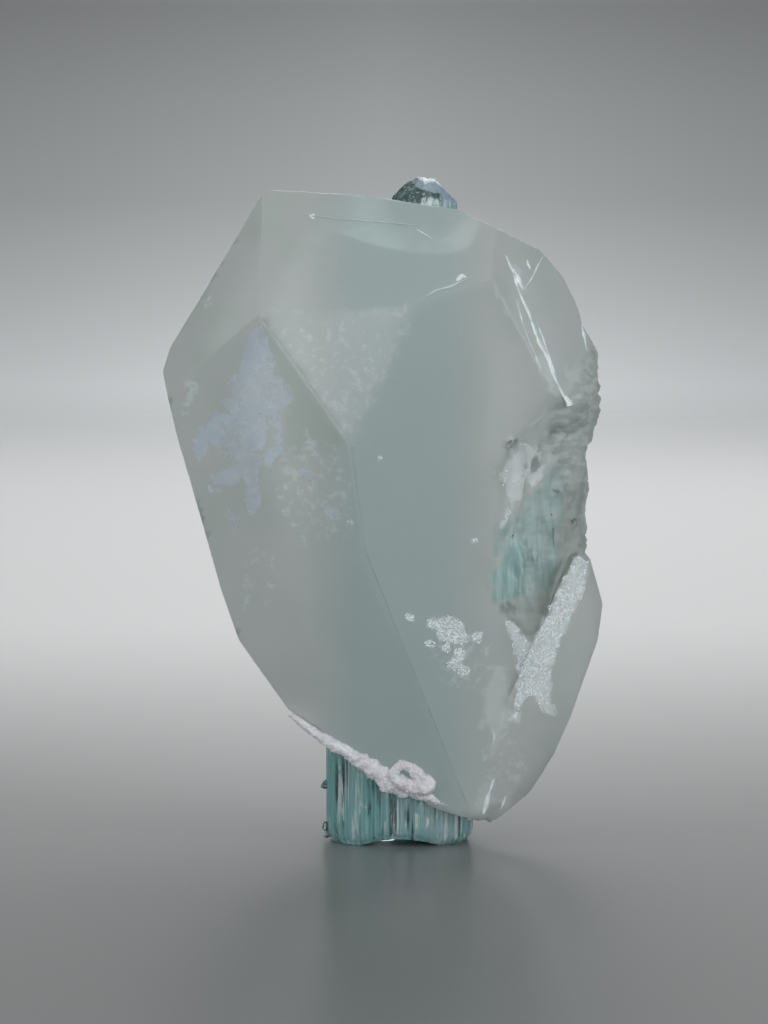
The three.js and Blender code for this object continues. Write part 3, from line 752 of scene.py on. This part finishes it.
def groove_depth(around, heights, grooves, random):
    """Depth of the striations on a grid of heights by angles: the deepest groove at each point,
    each one a V with a rounded floor whose depth swells and fades along the prism."""
    angle, width, depth = grooves
    turn = np.abs((around[:, None] - angle[None, :] + np.pi) % (2 * np.pi) - np.pi)
    share = np.clip(1 - turn / width, 0, 1)
    profile = share * (2 - share)
    wave = random.uniform(3, 14, len(angle)) * MM
    phase = random.uniform(0, 2 * np.pi, len(angle))
    swell = 0.72 + 0.28 * np.sin(heights[:, None] * 2 * np.pi / wave + phase)
    deepest = np.zeros((len(heights), len(around)))
    for k in range(len(angle)):
        deepest = np.maximum(deepest, np.outer(swell[:, k] * depth[k], profile[:, k]))
    return deepest


def trigonal(around, radius, bulge):
    """Radius of a rounded triangle with a corner towards the back."""
    return radius * (1 + bulge * np.cos(3 * (around - np.pi / 2)))


def growth_steps(around, heights, radius, random):
    """Shallow steps where a layer of growth ends: patches of the side, each a range of angles by a
    range of heights, that lie a few hundredths of a millimetre lower."""
    drop = np.zeros((len(heights), len(around)))
    for _ in range(GROWTH_PATCHES):
        middle, half = random.uniform(0, 2 * np.pi), random.uniform(0.03, 0.16)
        low, tall = random.uniform(-4, 56) * MM, random.uniform(1.5, 12) * MM
        turn = np.abs((around - middle + np.pi) % (2 * np.pi) - np.pi)
        across = np.clip((half - turn) * radius / (0.12 * MM), 0, 1)
        along = np.clip(np.minimum(heights - low, low + tall - heights) / (0.15 * MM), 0, 1)
        drop = np.maximum(drop, np.outer(along, across) * random.uniform(0.02, 0.09) * MM)
    return drop


def blunt_end(x, y):
    """Height of the thick prism's blunt end over a point: the lowest of its three sloping faces."""
    height = np.full_like(x, np.inf)
    for a, b, c in BLUNT_FACES:
        normal = np.cross(b - a, c - a)
        height = np.minimum(height, a[2] - (normal[0] * (x - a[0]) + normal[1] * (y - a[1])) / normal[2])
    return height


def tourmaline_points():
    """The prism as rings of points: the hollow underside, the striated side up to the blunt end, the
    blunt end in to the slim crystal, the slim crystal's side, and its domed tip. A ring is a rounded
    triangle less its striations, carried up the axis. Gives the rings, the middle of the underside, the
    apex, and how deep in a groove each point lies."""
    random = np.random.default_rng(sizes().seed)
    around = np.linspace(0, 2 * np.pi, RING_POINTS, endpoint=False)
    cos, sin = np.cos(around), np.sin(around)
    radius = sizes().prism_radius

    side = np.linspace(0, 1, SIDE_RINGS)
    span = side * SIDE_SPAN
    grooves = groove_set(sizes().striations, sizes().striation_depth, random)
    worn = groove_depth(around, span, grooves, random) + growth_steps(around, span, radius, random)
    reach = trigonal(around, radius, sizes().prism_bulge)[None, :] - worn
    wear = (0.25 + 0.35 * np.abs(np.cos(around))) * MM
    reach = reach - wear * np.clip(1 - span[:, None] / (1.6 * wear), 0, 1) ** 1.5
    x, y = reach * cos, reach * sin * sizes().prism_depth
    rim = blunt_end(x[-1], y[-1])
    base = foot_height(x[0], y[0])
    z = base[None, :] + (rim - base)[None, :] * side[:, None]
    body = np.stack([x, y, z], -1)

    inward = np.linspace(1, 0, UNDER_RINGS + 1)[:-1, None] ** 0.8
    under_x, under_y = x[0] * (1 - inward), y[0] * (1 - inward)
    under = np.stack([under_x, under_y, foot_height(under_x, under_y)], -1)

    spire_radius = sizes().spire_radius
    spire_grooves = groove_set(SPIRE_STRIATIONS, SPIRE_STRIATION_DEPTH, random)
    spire_side = np.linspace(0, 1, SPIRE_RINGS)
    spire_worn = groove_depth(around, spire_side * SPIRE_SPAN, spire_grooves, random)
    spire_reach = trigonal(around, spire_radius, sizes().prism_bulge)[None, :] - spire_worn
    spire_x, spire_y = sizes().spire_offset + spire_reach * cos, spire_reach * sin
    foot = blunt_end(spire_x[0], spire_y[0])
    top = TIP_HEIGHT - sizes().dome_rise
    spire_z = foot[None, :] + (top - foot)[None, :] * spire_side[:, None]
    spire = np.stack([spire_x, spire_y, spire_z], -1)

    blend = np.linspace(0, 1, SHOULDER_RINGS + 2)[1:-1, None]
    shoulder_x = x[-1] * (1 - blend) + spire_x[0] * blend
    shoulder_y = y[-1] * (1 - blend) + spire_y[0] * blend
    shoulder = np.stack([shoulder_x, shoulder_y, blunt_end(shoulder_x, shoulder_y)], -1)

    lift = np.linspace(0, np.pi / 2, DOME_RINGS + 2)[1:-1, None]
    dome_x = sizes().spire_offset + spire_reach[-1] * np.cos(lift) * cos
    dome_y = spire_reach[-1] * np.cos(lift) * sin
    dome_z = top + sizes().dome_rise * np.sin(lift)
    dome = np.stack([dome_x, dome_y, dome_cut(dome_x, dome_y, dome_z)], -1)
    low, high = (-2, -4, 56), (6, 4, 60)
    chips = shards(dome.reshape(-1, 3) / MM, low, high, 260, 0.35, (-0.2, 0.0), (1, 1, 1), random)
    left = np.clip((sizes().spire_offset + 0.6 * MM - dome_x) / (0.8 * MM), 0, 1)
    dome[..., 2] += np.clip(chips.reshape(dome_x.shape), -0.3, 0) * left * MM
    apex_z = dome_cut(np.array(sizes().spire_offset), np.array(0.0), np.array(TIP_HEIGHT))
    apex = np.array([sizes().spire_offset, 0, float(apex_z)])
    centre = np.array([0, 0, float(foot_height(np.array(0.0), np.array(0.0)))])
    flat = [np.zeros(len(part) * len(around)) for part in (under, shoulder, dome)]
    worn, spire_worn = worn.ravel() / sizes().striation_depth, spire_worn.ravel() / sizes().striation_depth
    depth = np.concatenate([flat[0], worn, flat[1], spire_worn, flat[2], [0, 0]])
    return np.concatenate([under, body, shoulder, spire, dome]), centre, apex, depth


def foot_height(x, y):
    """Height of the underside: level, with a shallow hollow under its front half between two feet."""
    arch = np.clip(1 - (x / FOOT_HOLLOW_HALF) ** 2, 0, 1)
    return FOOT_HOLLOW_RISE * arch * np.clip(-y / FOOT_HOLLOW_RAMP, 0, 1)


def dome_cut(x, y, z):
    """Height of the domed tip: the egg, cut by a broad plane to the right, one to the left and one in
    front, whichever is lowest."""
    offset = x - sizes().spire_offset
    for height, slope_x, slope_y in DOME_PLANES:
        z = np.minimum(z, height + slope_x * offset + slope_y * y)
    return z


def build_tourmaline():
    """The prism's rings joined into one skin, closed below and above, and its three side crystals as
    close lumps of grains."""
    rings, centre, apex, depth = tourmaline_points()
    count, around = rings.shape[:2]
    points = np.concatenate([rings.reshape(-1, 3), [centre, apex]])
    points[:, :2] += PRISM_AXIS
    step = np.arange(around)
    turned = (step + 1) % around
    bottom = np.stack([np.full(around, count * around), turned, step], -1)
    last = (count - 1) * around
    top = np.stack([last + step, last + turned, np.full(around, count * around + 1)], -1)
    skin = ring_faces(count, around).tolist() + bottom.tolist() + top.tolist()
    random = np.random.default_rng(sizes().seed + 4)
    seats = np.array(SIDE_CRYSTALS).repeat(GRAINS_PER_SIDE_CRYSTAL, axis=0)
    centres = seats[:, :3] + random.uniform(-0.3, 0.3, (len(seats), 3)) * seats[:, 3:]
    grains, grain_faces = grain_cloud(centres, random.uniform(0.25, 0.4, len(seats)), random, (0.7, 1.1))
    points, faces = join_parts([(points, skin), (to_frame(grains), grain_faces)])
    depth = np.concatenate([depth, random.uniform(0.3, 1.0, len(points) - len(depth))])
    piece = mesh_object("tourmaline_prism", points, faces)
    piece.data.attributes.new("groove", "FLOAT", "POINT").data.foreach_set("value", depth.astype(np.float32))
    return finish_piece(piece, tourmaline_finish(), "tourmaline", "tourmaline_crystal")


# Quartz

def welded_copy(node, name):
    """A copy of a CAD node's mesh with its doubled corners merged and its flat faces joined."""
    mesh = frame["nodes"][node].data.copy()
    mesh.name = name
    shape = bmesh.new()
    shape.from_mesh(mesh)
    bmesh.ops.remove_doubles(shape, verts=shape.verts, dist=WELD)
    bmesh.ops.dissolve_limit(shape, angle_limit=FLAT_ANGLE, verts=shape.verts, edges=shape.edges)
    shape.to_mesh(mesh)
    shape.free()
    piece = bpy.data.objects.new(name, mesh)
    bpy.context.scene.collection.objects.link(piece)
    return piece


def split_long(points, triangles, longest):
    """Halves every edge longer than a length, again and again, so that flat faces fill with small
    triangles: a triangle becomes two, three or four, by how many of its edges are halved."""
    while True:
        sides = np.sort(np.stack([triangles, np.roll(triangles, -1, axis=1)], -1), axis=-1)
        codes, where = np.unique(sides[..., 0] * len(points) + sides[..., 1], return_inverse=True)
        keys = np.stack([codes // len(points), codes % len(points)], -1)
        long = np.linalg.norm(points[keys[:, 0]] - points[keys[:, 1]], axis=1) > longest
        if not long.any():
            return points, triangles
        middle = np.full(len(keys), -1)
        middle[long] = len(points) + np.arange(long.sum())
        points = np.concatenate([points, points[keys[long]].mean(axis=1)])
        halves = middle[where.reshape(-1, 3)]
        cuts = (halves >= 0).sum(axis=1)
        one, two, three = cuts == 1, cuts == 2, cuts == 3
        shift = np.select([one, two], [halves.argmax(axis=1), (halves.argmin(axis=1) + 1) % 3], 0)
        order = (np.arange(3) + shift[:, None]) % 3
        a, b, c = np.take_along_axis(triangles, order, 1).T
        p, q, r = np.take_along_axis(halves, order, 1).T
        triangles = np.concatenate([
            triangles[cuts == 0],
            np.stack([a, p, c], -1)[one], np.stack([p, b, c], -1)[one],
            np.stack([p, b, q], -1)[two], np.stack([a, p, q], -1)[two], np.stack([a, q, c], -1)[two],
            np.stack([a, p, r], -1)[three], np.stack([p, b, q], -1)[three],
            np.stack([r, q, c], -1)[three], np.stack([p, q, r], -1)[three]])


def sharpen(mesh, angle, allowed):
    """Marks the allowed edges between triangles that meet at more than an angle, and says which."""
    edge = read_values(mesh.loops, "edge_index", 1, np.int64)[:, 0]
    order = np.argsort(edge, kind="stable").reshape(-1, 2)
    first, second = read_values(mesh.polygons, "normal", 3)[order // 3].transpose(1, 0, 2)
    sharp = np.zeros(len(mesh.edges), bool)
    sharp[edge[order[:, 0]]] = (first * second).sum(axis=1) < math.cos(angle)
    sharp &= allowed
    mesh.attributes.new("sharp_edge", "BOOLEAN", "EDGE").data.foreach_set("value", sharp)
    return sharp


def fine_copy(node, name, longest):
    """A copy of a CAD node whose faces are filled with small triangles."""
    rough = welded_copy(node, name)
    mesh = rough.data
    mesh.calc_loop_triangles()
    corners = read_values(mesh.loop_triangles, "vertices", 3, np.int64)
    points, triangles = split_long(read_values(mesh.vertices, "co", 3), corners, longest)
    bpy.data.objects.remove(rough)
    return mesh_object(name, points, triangles.tolist())


def quartz_fields(points):
    """Fields over the quartz's points, in millimetres inside each mark on its front face. They run out
    behind the front, so that no mark goes through to the back."""
    x, y, z = from_axis(points)
    behind = np.clip(MARKS_END - y, -3, 0) * 3
    fields = {
        "blue": inside_any(x, z, BLUE_PATCHES),
        "veil": inside(x, z, VEIL_TRIANGLE),
        "mottled": inside_any(x, z, MOTTLED_ZONES),
        "pale": inside_any(x, z, PALE_ZONES),
        "shade": inside_any(x, z, DARK_BANDS),
        "green": inside_any(x, z, GREEN_PATCHES),
        "teal": inside(x, z, TEAL_WINDOW),
        "core": inside_any(x, z, TEAL_CORES),
        "oval": inside_any(x, z, DARK_OVALS),
        "flank": inside(x, z, FLANK),
        "brown": inside(x, z, BROWN_SHADE),
        "snow": np.maximum(inside_any(x, z, SNOW_PATCHES + SUTURE), near_spots(x, z, SNOW_SPOTS)),
        "prism": sizes().prism_radius / MM - 0.5 - np.abs(x),
    }
    return {name: np.clip(field + behind, -4, 4) for name, field in fields.items()}


def soft_share(points):
    """How far each place lies in the ground whose edges are rounded off: 0 outside it, 1 well inside."""
    x, y, z = from_axis(points)
    return np.clip(inside_any(x, z, SOFT_ZONES) / 1.2, 0, 1) * np.clip((SOFT_END - y) / 2, 0, 1)


def relax(points, edges, share):
    """Moves each place towards the mean of its neighbours by its share, round after round."""
    ends = np.concatenate([edges, edges[:, ::-1]])
    count = np.bincount(ends[:, 0], minlength=len(points))[:, None]
    for _ in range(SMOOTHING_ROUNDS):
        total = [np.bincount(ends[:, 0], points[ends[:, 1], axis], len(points)) for axis in range(3)]
        points = points + (np.stack(total, -1) / count - points) * (SMOOTHING_SHARE * share[:, None])
    return points


def broken_relief(points, random):
    """How far the broken ground of the right flank lies below the crystal's skin: large and small
    shards, long along the crystal, fading out at the edge of the ground."""
    x, y, z = from_axis(points)
    ground = np.clip(inside(x, z, FLANK) / 1.5, 0, 1) * np.clip((BROKEN_END - y) / 2, 0, 1)
    chosen = ground > 0
    local = np.stack([x, y, z], -1)[chosen]
    box = (SHARD_LOW, SHARD_HIGH)
    large = shards(local, *box, 260, 0.1, (-0.14, 0.14), SHARD_STRETCH, random)
    small = shards(local, *box, 1800, 0.16, (-0.06, 0.06), SHARD_STRETCH, random)
    relief = np.zeros(len(points))
    relief[chosen] = ground[chosen] * (np.clip(large, -0.25, 0.25) + small)
    return relief * MM


def build_quartz():
    """The quartz, with its softened ground smoothed, its broken ground sunk shard by shard and its edges
    worn: a point on an edge is drawn in by a few hundredths of a millimetre, more or less along it."""
    piece = fine_copy("quartz_crystal", "quartz_hazy", sizes().quartz_grid)
    mesh = piece.data
    points = read_values(mesh.vertices, "co", 3)
    normals = read_values(mesh.vertices, "normal", 3)
    ends = read_values(mesh.edges, "vertices", 2, np.int64)
    soft = soft_share(points)
    sharp = sharpen(mesh, SHARP_ANGLE, soft[ends].max(axis=1) < 0.15)
    worn = np.zeros(len(points))
    worn[ends[sharp]] = 1
    points = relax(points, ends, soft)
    random = np.random.default_rng(sizes().seed + 3)
    sink = broken_relief(points, random) + 0.02 * MM * noise_field(points, 3 * MM, 8)
    sink += worn * sizes().edge_wear * (1 + 0.7 * noise_field(points, 0.9 * MM, 9))
    mesh.vertices.foreach_set("co", (points - normals * sink[:, None]).ravel())
    for name, values in quartz_fields(points).items():
        mesh.attributes.new(name, "FLOAT", "POINT").data.foreach_set("value", values.astype(np.float32))
    mesh.update()
    return finish_piece(piece, quartz_finish(), "quartz", "quartz_crystal")


def ridge_strip(half_width, line):
    """Points and faces of a low ridge along a line on the quartz: a four-sided section, widest in the
    middle of the line and closed at both ends, whose width wanders. Off the quartz there is none."""
    line = np.array(line)
    steps = np.concatenate([[0], np.cumsum(np.hypot(*np.diff(line, axis=0).T))])
    along = np.linspace(0, steps[-1], int(steps[-1] / 0.12) + 4)
    x, z = np.interp(along, steps, line[:, 0]), np.interp(along, steps, line[:, 1])
    tangent = np.stack([np.gradient(x), np.gradient(z)], -1)
    side = np.stack([-tangent[:, 1], tangent[:, 0]], -1) / np.linalg.norm(tangent, axis=1)[:, None]
    middle = np.stack([x, np.zeros(len(x)), z], -1)
    ends = np.sqrt(np.clip(np.sin(np.pi * np.linspace(0, 1, len(x))), 0, 1))
    width = half_width * ends * (1 + 0.55 * noise_field(middle, 0.5, 21)) + 0.01
    across = np.array([-1, 0, 1, 0])
    px = x[:, None] + across * (side[:, :1] * width[:, None])
    pz = z[:, None] + across * (side[:, 1:] * width[:, None])
    lift = np.array([-0.05, 0.09, -0.05, -0.12]) * (0.5 + ends[:, None])
    depth = drape(px.ravel(), pz.ravel()).reshape(px.shape)
    depth = np.where(np.isnan(depth), np.nanmean(depth, axis=1, keepdims=True), depth)
    points = np.stack([px, depth - lift, pz], -1).reshape(-1, 3)
    last = (len(x) - 1) * 4
    faces = ring_faces(len(x), 4).tolist() + [[3, 2, 1, 0], [last, last + 1, last + 2, last + 3]]
    return (points[:0], []) if np.isnan(points).any() else (points, faces)


def scattered(outlines, spots, per_square, random):
    """Random places inside outlines and spots, at so many a square millimetre."""
    every = [np.array(outline) for outline in outlines] + [
        np.array([(x - r, z - r), (x + r, z + r)]) for x, z, r in spots]
    corners = np.concatenate(every)
    low, high = corners.min(axis=0), corners.max(axis=0)
    count = int(np.prod(high - low) * per_square)
    x, z = random.uniform(low[0], high[0], count), random.uniform(low[1], high[1], count)
    depth_in = np.full(count, -np.inf)
    if outlines:
        depth_in = np.maximum(depth_in, inside_any(x, z, outlines))
    if spots:
        depth_in = np.maximum(depth_in, near_spots(x, z, spots))
    keep = depth_in > 0.25 * noise_field(np.stack([x, np.zeros(count), z], -1), 0.6, 31)
    return x[keep], z[keep]


def build_snow():
    """White grains on the quartz, on the healed seam, the shattered patch and the cluster, and the
    bright chipped edges."""
    random = np.random.default_rng(sizes().seed + 1)
    parts = []
    for outlines, spots, per_square, (small, large), lean in SNOW_BEDS:
        x, z = scattered(outlines, spots, per_square, random)
        depth = drape(x, z)
        radius = random.uniform(small, large, len(x)) * random.uniform(0.6, 1, len(x))
        found = ~np.isnan(depth)
        centres = np.stack([x, depth + radius * 0.25, z], -1)[found]
        parts.append(grain_cloud(centres, radius[found], random, lean=lean))
    parts += [ridge_strip(width, line) for width, line in CHIPPED_EDGES]
    points, faces = join_parts(parts)
    piece = mesh_object("snow_grains", to_frame(points), faces, smooth=False)
    return finish_piece(piece, snow_finish(), "quartz")


# Crust

def lumpy_tube(line, depth, closed, count, random_seed):
    """Points and faces of a flattened tube along a line of x, z and half width. Its section is an
    ellipse, as deep as depth and as wide as the line says, whose reach is swollen by noise."""
    around = SECTION_POINTS
    line = np.array(line)
    if closed:
        line = np.concatenate([line, line[:1]])
    steps = np.concatenate([[0], np.cumsum(np.hypot(*np.diff(line[:, :2], axis=0).T))])
    along = np.linspace(0, steps[-1], count, endpoint=not closed)
    x, z, half = (np.interp(along, steps, column) for column in line.T)
    for _ in range(6):
        if closed:
            x, z, half = ((np.roll(each, 1) + each + np.roll(each, -1)) / 3 for each in (x, z, half))
    run_x, run_z = (np.roll(each, -1) - np.roll(each, 1) if closed else np.gradient(each) for each in (x, z))
    side = np.stack([-run_z, np.zeros(count), run_x], -1) / np.hypot(run_x, run_z)[:, None]
    turn = np.linspace(0, 2 * np.pi, around, endpoint=False)
    middle = np.stack([x, np.interp(x, CRUST_DEPTH_AT, CRUST_DEPTH), z], -1)
    shape = side[:, None] * np.cos(turn)[None, :, None] * half[:, None, None]
    shape[..., 1] += np.minimum(depth, half)[:, None] * np.sin(turn)
    base = (middle[:, None] + shape).reshape(-1, 3)
    swell = 1 + 0.28 * noise_field(base, 0.75, random_seed) + 0.2 * noise_field(base, 0.3, random_seed + 1)
    points = (middle[:, None] + shape * swell.reshape(count, around, 1)).reshape(-1, 3)
    if not closed:
        last = (count - 1) * around
        caps = [list(range(around)), list(range(last, last + around))[::-1]]
        return points, ring_faces(count, around)[:, ::-1].tolist() + caps
    step, place = np.meshgrid(np.arange(count), np.arange(around), indexing="ij")
    wrap, beside = (step + 1) % count, (place + 1) % around
    faces = [step * around + place, wrap * around + place, wrap * around + beside, step * around + beside]
    return points, np.stack(faces, -1).reshape(-1, 4).tolist()


def build_crust():
    """The crust: a lumpy strip along the contact, a knob with a hollow middle, and grains over both."""
    random = np.random.default_rng(sizes().seed + 2)
    strip = lumpy_tube(CRUST_LINE, 0.6, False, STRIP_RINGS, 41)
    knob = lumpy_tube(KNOB_RING, 0.7, True, KNOB_RINGS, 43)
    knob[0][:, 1] -= 0.55
    seats = np.concatenate([strip[0], knob[0]])
    chosen = seats[random.integers(0, len(seats), CRUST_GRAINS)]
    grains = grain_cloud(chosen, random.uniform(0.04, 0.13, CRUST_GRAINS), random)
    points, faces = join_parts([strip, knob, grains])
    piece = mesh_object("albite_grains", to_frame(points), faces)
    return finish_piece(piece, crust_finish(), "albite", "albite_crust")


# Stage

def build_floor():
    """A round floor: rings of growing radius about the specimen, all at height zero."""
    around = np.linspace(0, 2 * np.pi, FLOOR_POINTS, endpoint=False)
    radius = np.linspace(MM, FLOOR_RADIUS, FLOOR_RINGS)[:, None]
    level = np.zeros((FLOOR_RINGS, FLOOR_POINTS))
    points = np.stack([radius * np.cos(around), radius * np.sin(around), level], -1)
    floor = mesh_object("studio_floor", points, ring_faces(FLOOR_RINGS, FLOOR_POINTS)[:, ::-1].tolist())
    finish = Finish("Studio Floor")

    def length(vector):
        return finish.add("ShaderNodeVectorMath", {0: vector}, operation="LENGTH").outputs["Value"]

    split = finish.add("ShaderNodeSeparateXYZ", {0: finish.coordinates})
    # Painted light and shade: the floor's colour runs from deep grey round the specimen to pale behind it
    # and far ahead of it.
    near, far = (*colours().floor, 1), (0.9, 0.9, 0.9, 1)
    behind = finish.ramp(split.outputs["Y"], -0.03, 0.22)
    ahead = finish.ramp(split.outputs["Y"], -0.12, -0.2)
    # Painted shadow: a darker ellipse on the floor just in front of the specimen stands in for its shadow
    # and its reflection.
    shape = {"Vector": finish.coordinates, "Location": (0, 1.1, 0), "Scale": (26, 11, 1)}
    shadow_pool = length(finish.add("ShaderNodeMapping", shape).outputs[0])
    tone = finish.mix(finish.math("MAXIMUM", behind, ahead), near, far)
    tone = finish.mix(finish.ramp(shadow_pool, 0.2, 1.6, 0.7, 0.0), tone, (0.05, 0.055, 0.055, 1))
    finish.set(
        Base_Color=tone, Roughness=0.28, IOR=1.45,
        Alpha=finish.ramp(length(finish.coordinates), 0.45, 1.0, 1.0, 0.0))
    floor.data.materials.append(finish.material)


def build_sky():
    """Soft grey surroundings. Behind the specimen they are brightest at its level, darker overhead and
    to the sides; in front they have one even tone, like the walls of a light tent."""
    world = bpy.data.worlds.new("Studio")
    bpy.context.scene.world = world
    world.use_nodes = True
    nodes, links = world.node_tree.nodes, world.node_tree.links
    direction = nodes.new("ShaderNodeSeparateXYZ")
    links.new(nodes.new("ShaderNodeTexCoord").outputs["Generated"], direction.inputs[0])

    def spread(axis, low, high):
        """Runs from 0 to 1 while the view's direction along an axis goes from low to high."""
        scaled = nodes.new("ShaderNodeMapRange")
        scaled.inputs["From Min"].default_value = low
        scaled.inputs["From Max"].default_value = high
        links.new(direction.outputs[axis], scaled.inputs["Value"])
        return scaled.outputs[0]

    def tones(value, stops):
        """A faintly cool grey for each value, from a list of stops."""
        ramp = nodes.new("ShaderNodeValToRGB")
        links.new(value, ramp.inputs[0])
        elements = ramp.color_ramp.elements
        elements[0].position, elements[1].position = stops[0][0], stops[-1][0]
        for place, _ in stops[1:-1]:
            elements.new(place)
        for element, (_, tone) in zip(elements, stops):
            element.color = (tone * 0.98, tone, tone * 1.01, 1)
        return ramp.outputs[0]

    def blend(kind, share, first, second):
        """Mixes two colours by a share, as a blend of some kind."""
        node = nodes.new("ShaderNodeMix")
        node.data_type = "RGBA"
        node.blend_type = kind
        for socket, value in zip((node.inputs[0], node.inputs[6], node.inputs[7]), (share, first, second)):
            if isinstance(value, float):
                socket.default_value = value
            else:
                links.new(value, socket)
        return node.outputs[2]

    behind = tones(spread("Z", -0.12, 0.3), BACKDROP_TONES)
    sides = tones(spread("X", -0.12, 0.12), SIDE_TONES)
    behind = blend("MULTIPLY", 1.0, behind, sides)
    front = tones(spread("Z", -0.6, 1.0), FRONT_TONES)
    around = blend("MIX", spread("Y", -0.2, 0.35), front, behind)
    links.new(around, nodes["Background"].inputs["Color"])


def add_light(name, place, size, power, tint):
    """A square area light that looks at the specimen."""
    data = bpy.data.lights.new(name, "AREA")
    data.shape = "SQUARE"
    data.size = size
    data.energy = power
    data.color = tint
    light = bpy.data.objects.new(name, data)
    bpy.context.scene.collection.objects.link(light)
    light.location = place
    aim_at(light, AIM)


def aim_at(thing, target):
    """Turns a light or camera so that it looks at a point, upright."""
    direction = Vector(target) - thing.location
    thing.rotation_euler = direction.to_track_quat("-Z", "Y").to_euler()


def build_camera():
    """A camera that looks slightly down on the specimen, at the photograph's scale."""
    data = bpy.data.cameras.new("Photo View")
    data.sensor_width = SENSOR
    data.lens = VIEW_DISTANCE / PIXEL_SIZE / PHOTO_HEIGHT * SENSOR
    data.clip_start = 0.01
    camera = bpy.data.objects.new("Photo View", data)
    bpy.context.scene.collection.objects.link(camera)
    back = np.array([0, -math.cos(VIEW_ELEVATION), math.sin(VIEW_ELEVATION)]) * VIEW_DISTANCE
    camera.location = AIM + back
    aim_at(camera, AIM)
    bpy.context.scene.camera = camera


def build_stage():
    """Camera, floor, surroundings and lights."""
    build_camera()
    build_floor()
    build_sky()
    for light in LIGHTS:
        add_light(*light)
    bpy.context.scene.view_settings.view_transform = "Standard"


# Operators

class SPECIMEN_OT_stage(bpy.types.Operator):
    """Build the floor, the surroundings, the lights and the camera"""

    bl_idname = "specimen.stage"
    bl_label = "Stage"

    def execute(self, context):
        build_stage()
        return {"FINISHED"}


class SPECIMEN_OT_tourmaline(bpy.types.Operator):
    """Build the striated prism with its domed tip"""

    bl_idname = "specimen.tourmaline"
    bl_label = "Tourmaline"

    def execute(self, context):
        build_tourmaline()
        return {"FINISHED"}


class SPECIMEN_OT_quartz(bpy.types.Operator):
    """Build the hazy quartz crystal"""

    bl_idname = "specimen.quartz"
    bl_label = "Quartz"

    def execute(self, context):
        build_quartz()
        return {"FINISHED"}


class SPECIMEN_OT_snow(bpy.types.Operator):
    """Build the white grains and chipped edges on the quartz"""

    bl_idname = "specimen.snow"
    bl_label = "Snowy Quartz"

    def execute(self, context):
        build_snow()
        return {"FINISHED"}


class SPECIMEN_OT_crust(bpy.types.Operator):
    """Build the granular crust along the contact"""

    bl_idname = "specimen.crust"
    bl_label = "Crust"

    def execute(self, context):
        build_crust()
        return {"FINISHED"}


class SPECIMEN_PT_panel(bpy.types.Panel):
    """Lists the steps that finish the specimen"""

    bl_label = "Specimen"
    bl_idname = "SPECIMEN_PT_panel"
    bl_space_type = "VIEW_3D"
    bl_region_type = "UI"
    bl_category = "Specimen"

    def draw(self, context):
        for operator in OPERATORS:
            self.layout.operator(operator.bl_idname)
        for group in (context.scene.specimen_sizes, context.scene.specimen_colours):
            for name in group.__annotations__:
                self.layout.prop(group, name)


OPERATORS = (
    SPECIMEN_OT_stage, SPECIMEN_OT_tourmaline, SPECIMEN_OT_quartz, SPECIMEN_OT_snow, SPECIMEN_OT_crust)
CLASSES = (SpecimenSizes, SpecimenColours, *OPERATORS, SPECIMEN_PT_panel)


def register():
    for each in CLASSES:
        bpy.utils.register_class(each)
    bpy.types.Scene.specimen_sizes = bpy.props.PointerProperty(type=SpecimenSizes)
    bpy.types.Scene.specimen_colours = bpy.props.PointerProperty(type=SpecimenColours)


def unregister():
    del bpy.types.Scene.specimen_colours
    del bpy.types.Scene.specimen_sizes
    for each in reversed(CLASSES):
        bpy.utils.unregister_class(each)


def main():
    register()
    bpy.ops.specimen.stage()
    bpy.ops.specimen.tourmaline()
    bpy.ops.specimen.quartz()
    bpy.ops.specimen.snow()
    bpy.ops.specimen.crust()


if __name__ == "__main__":
    main()
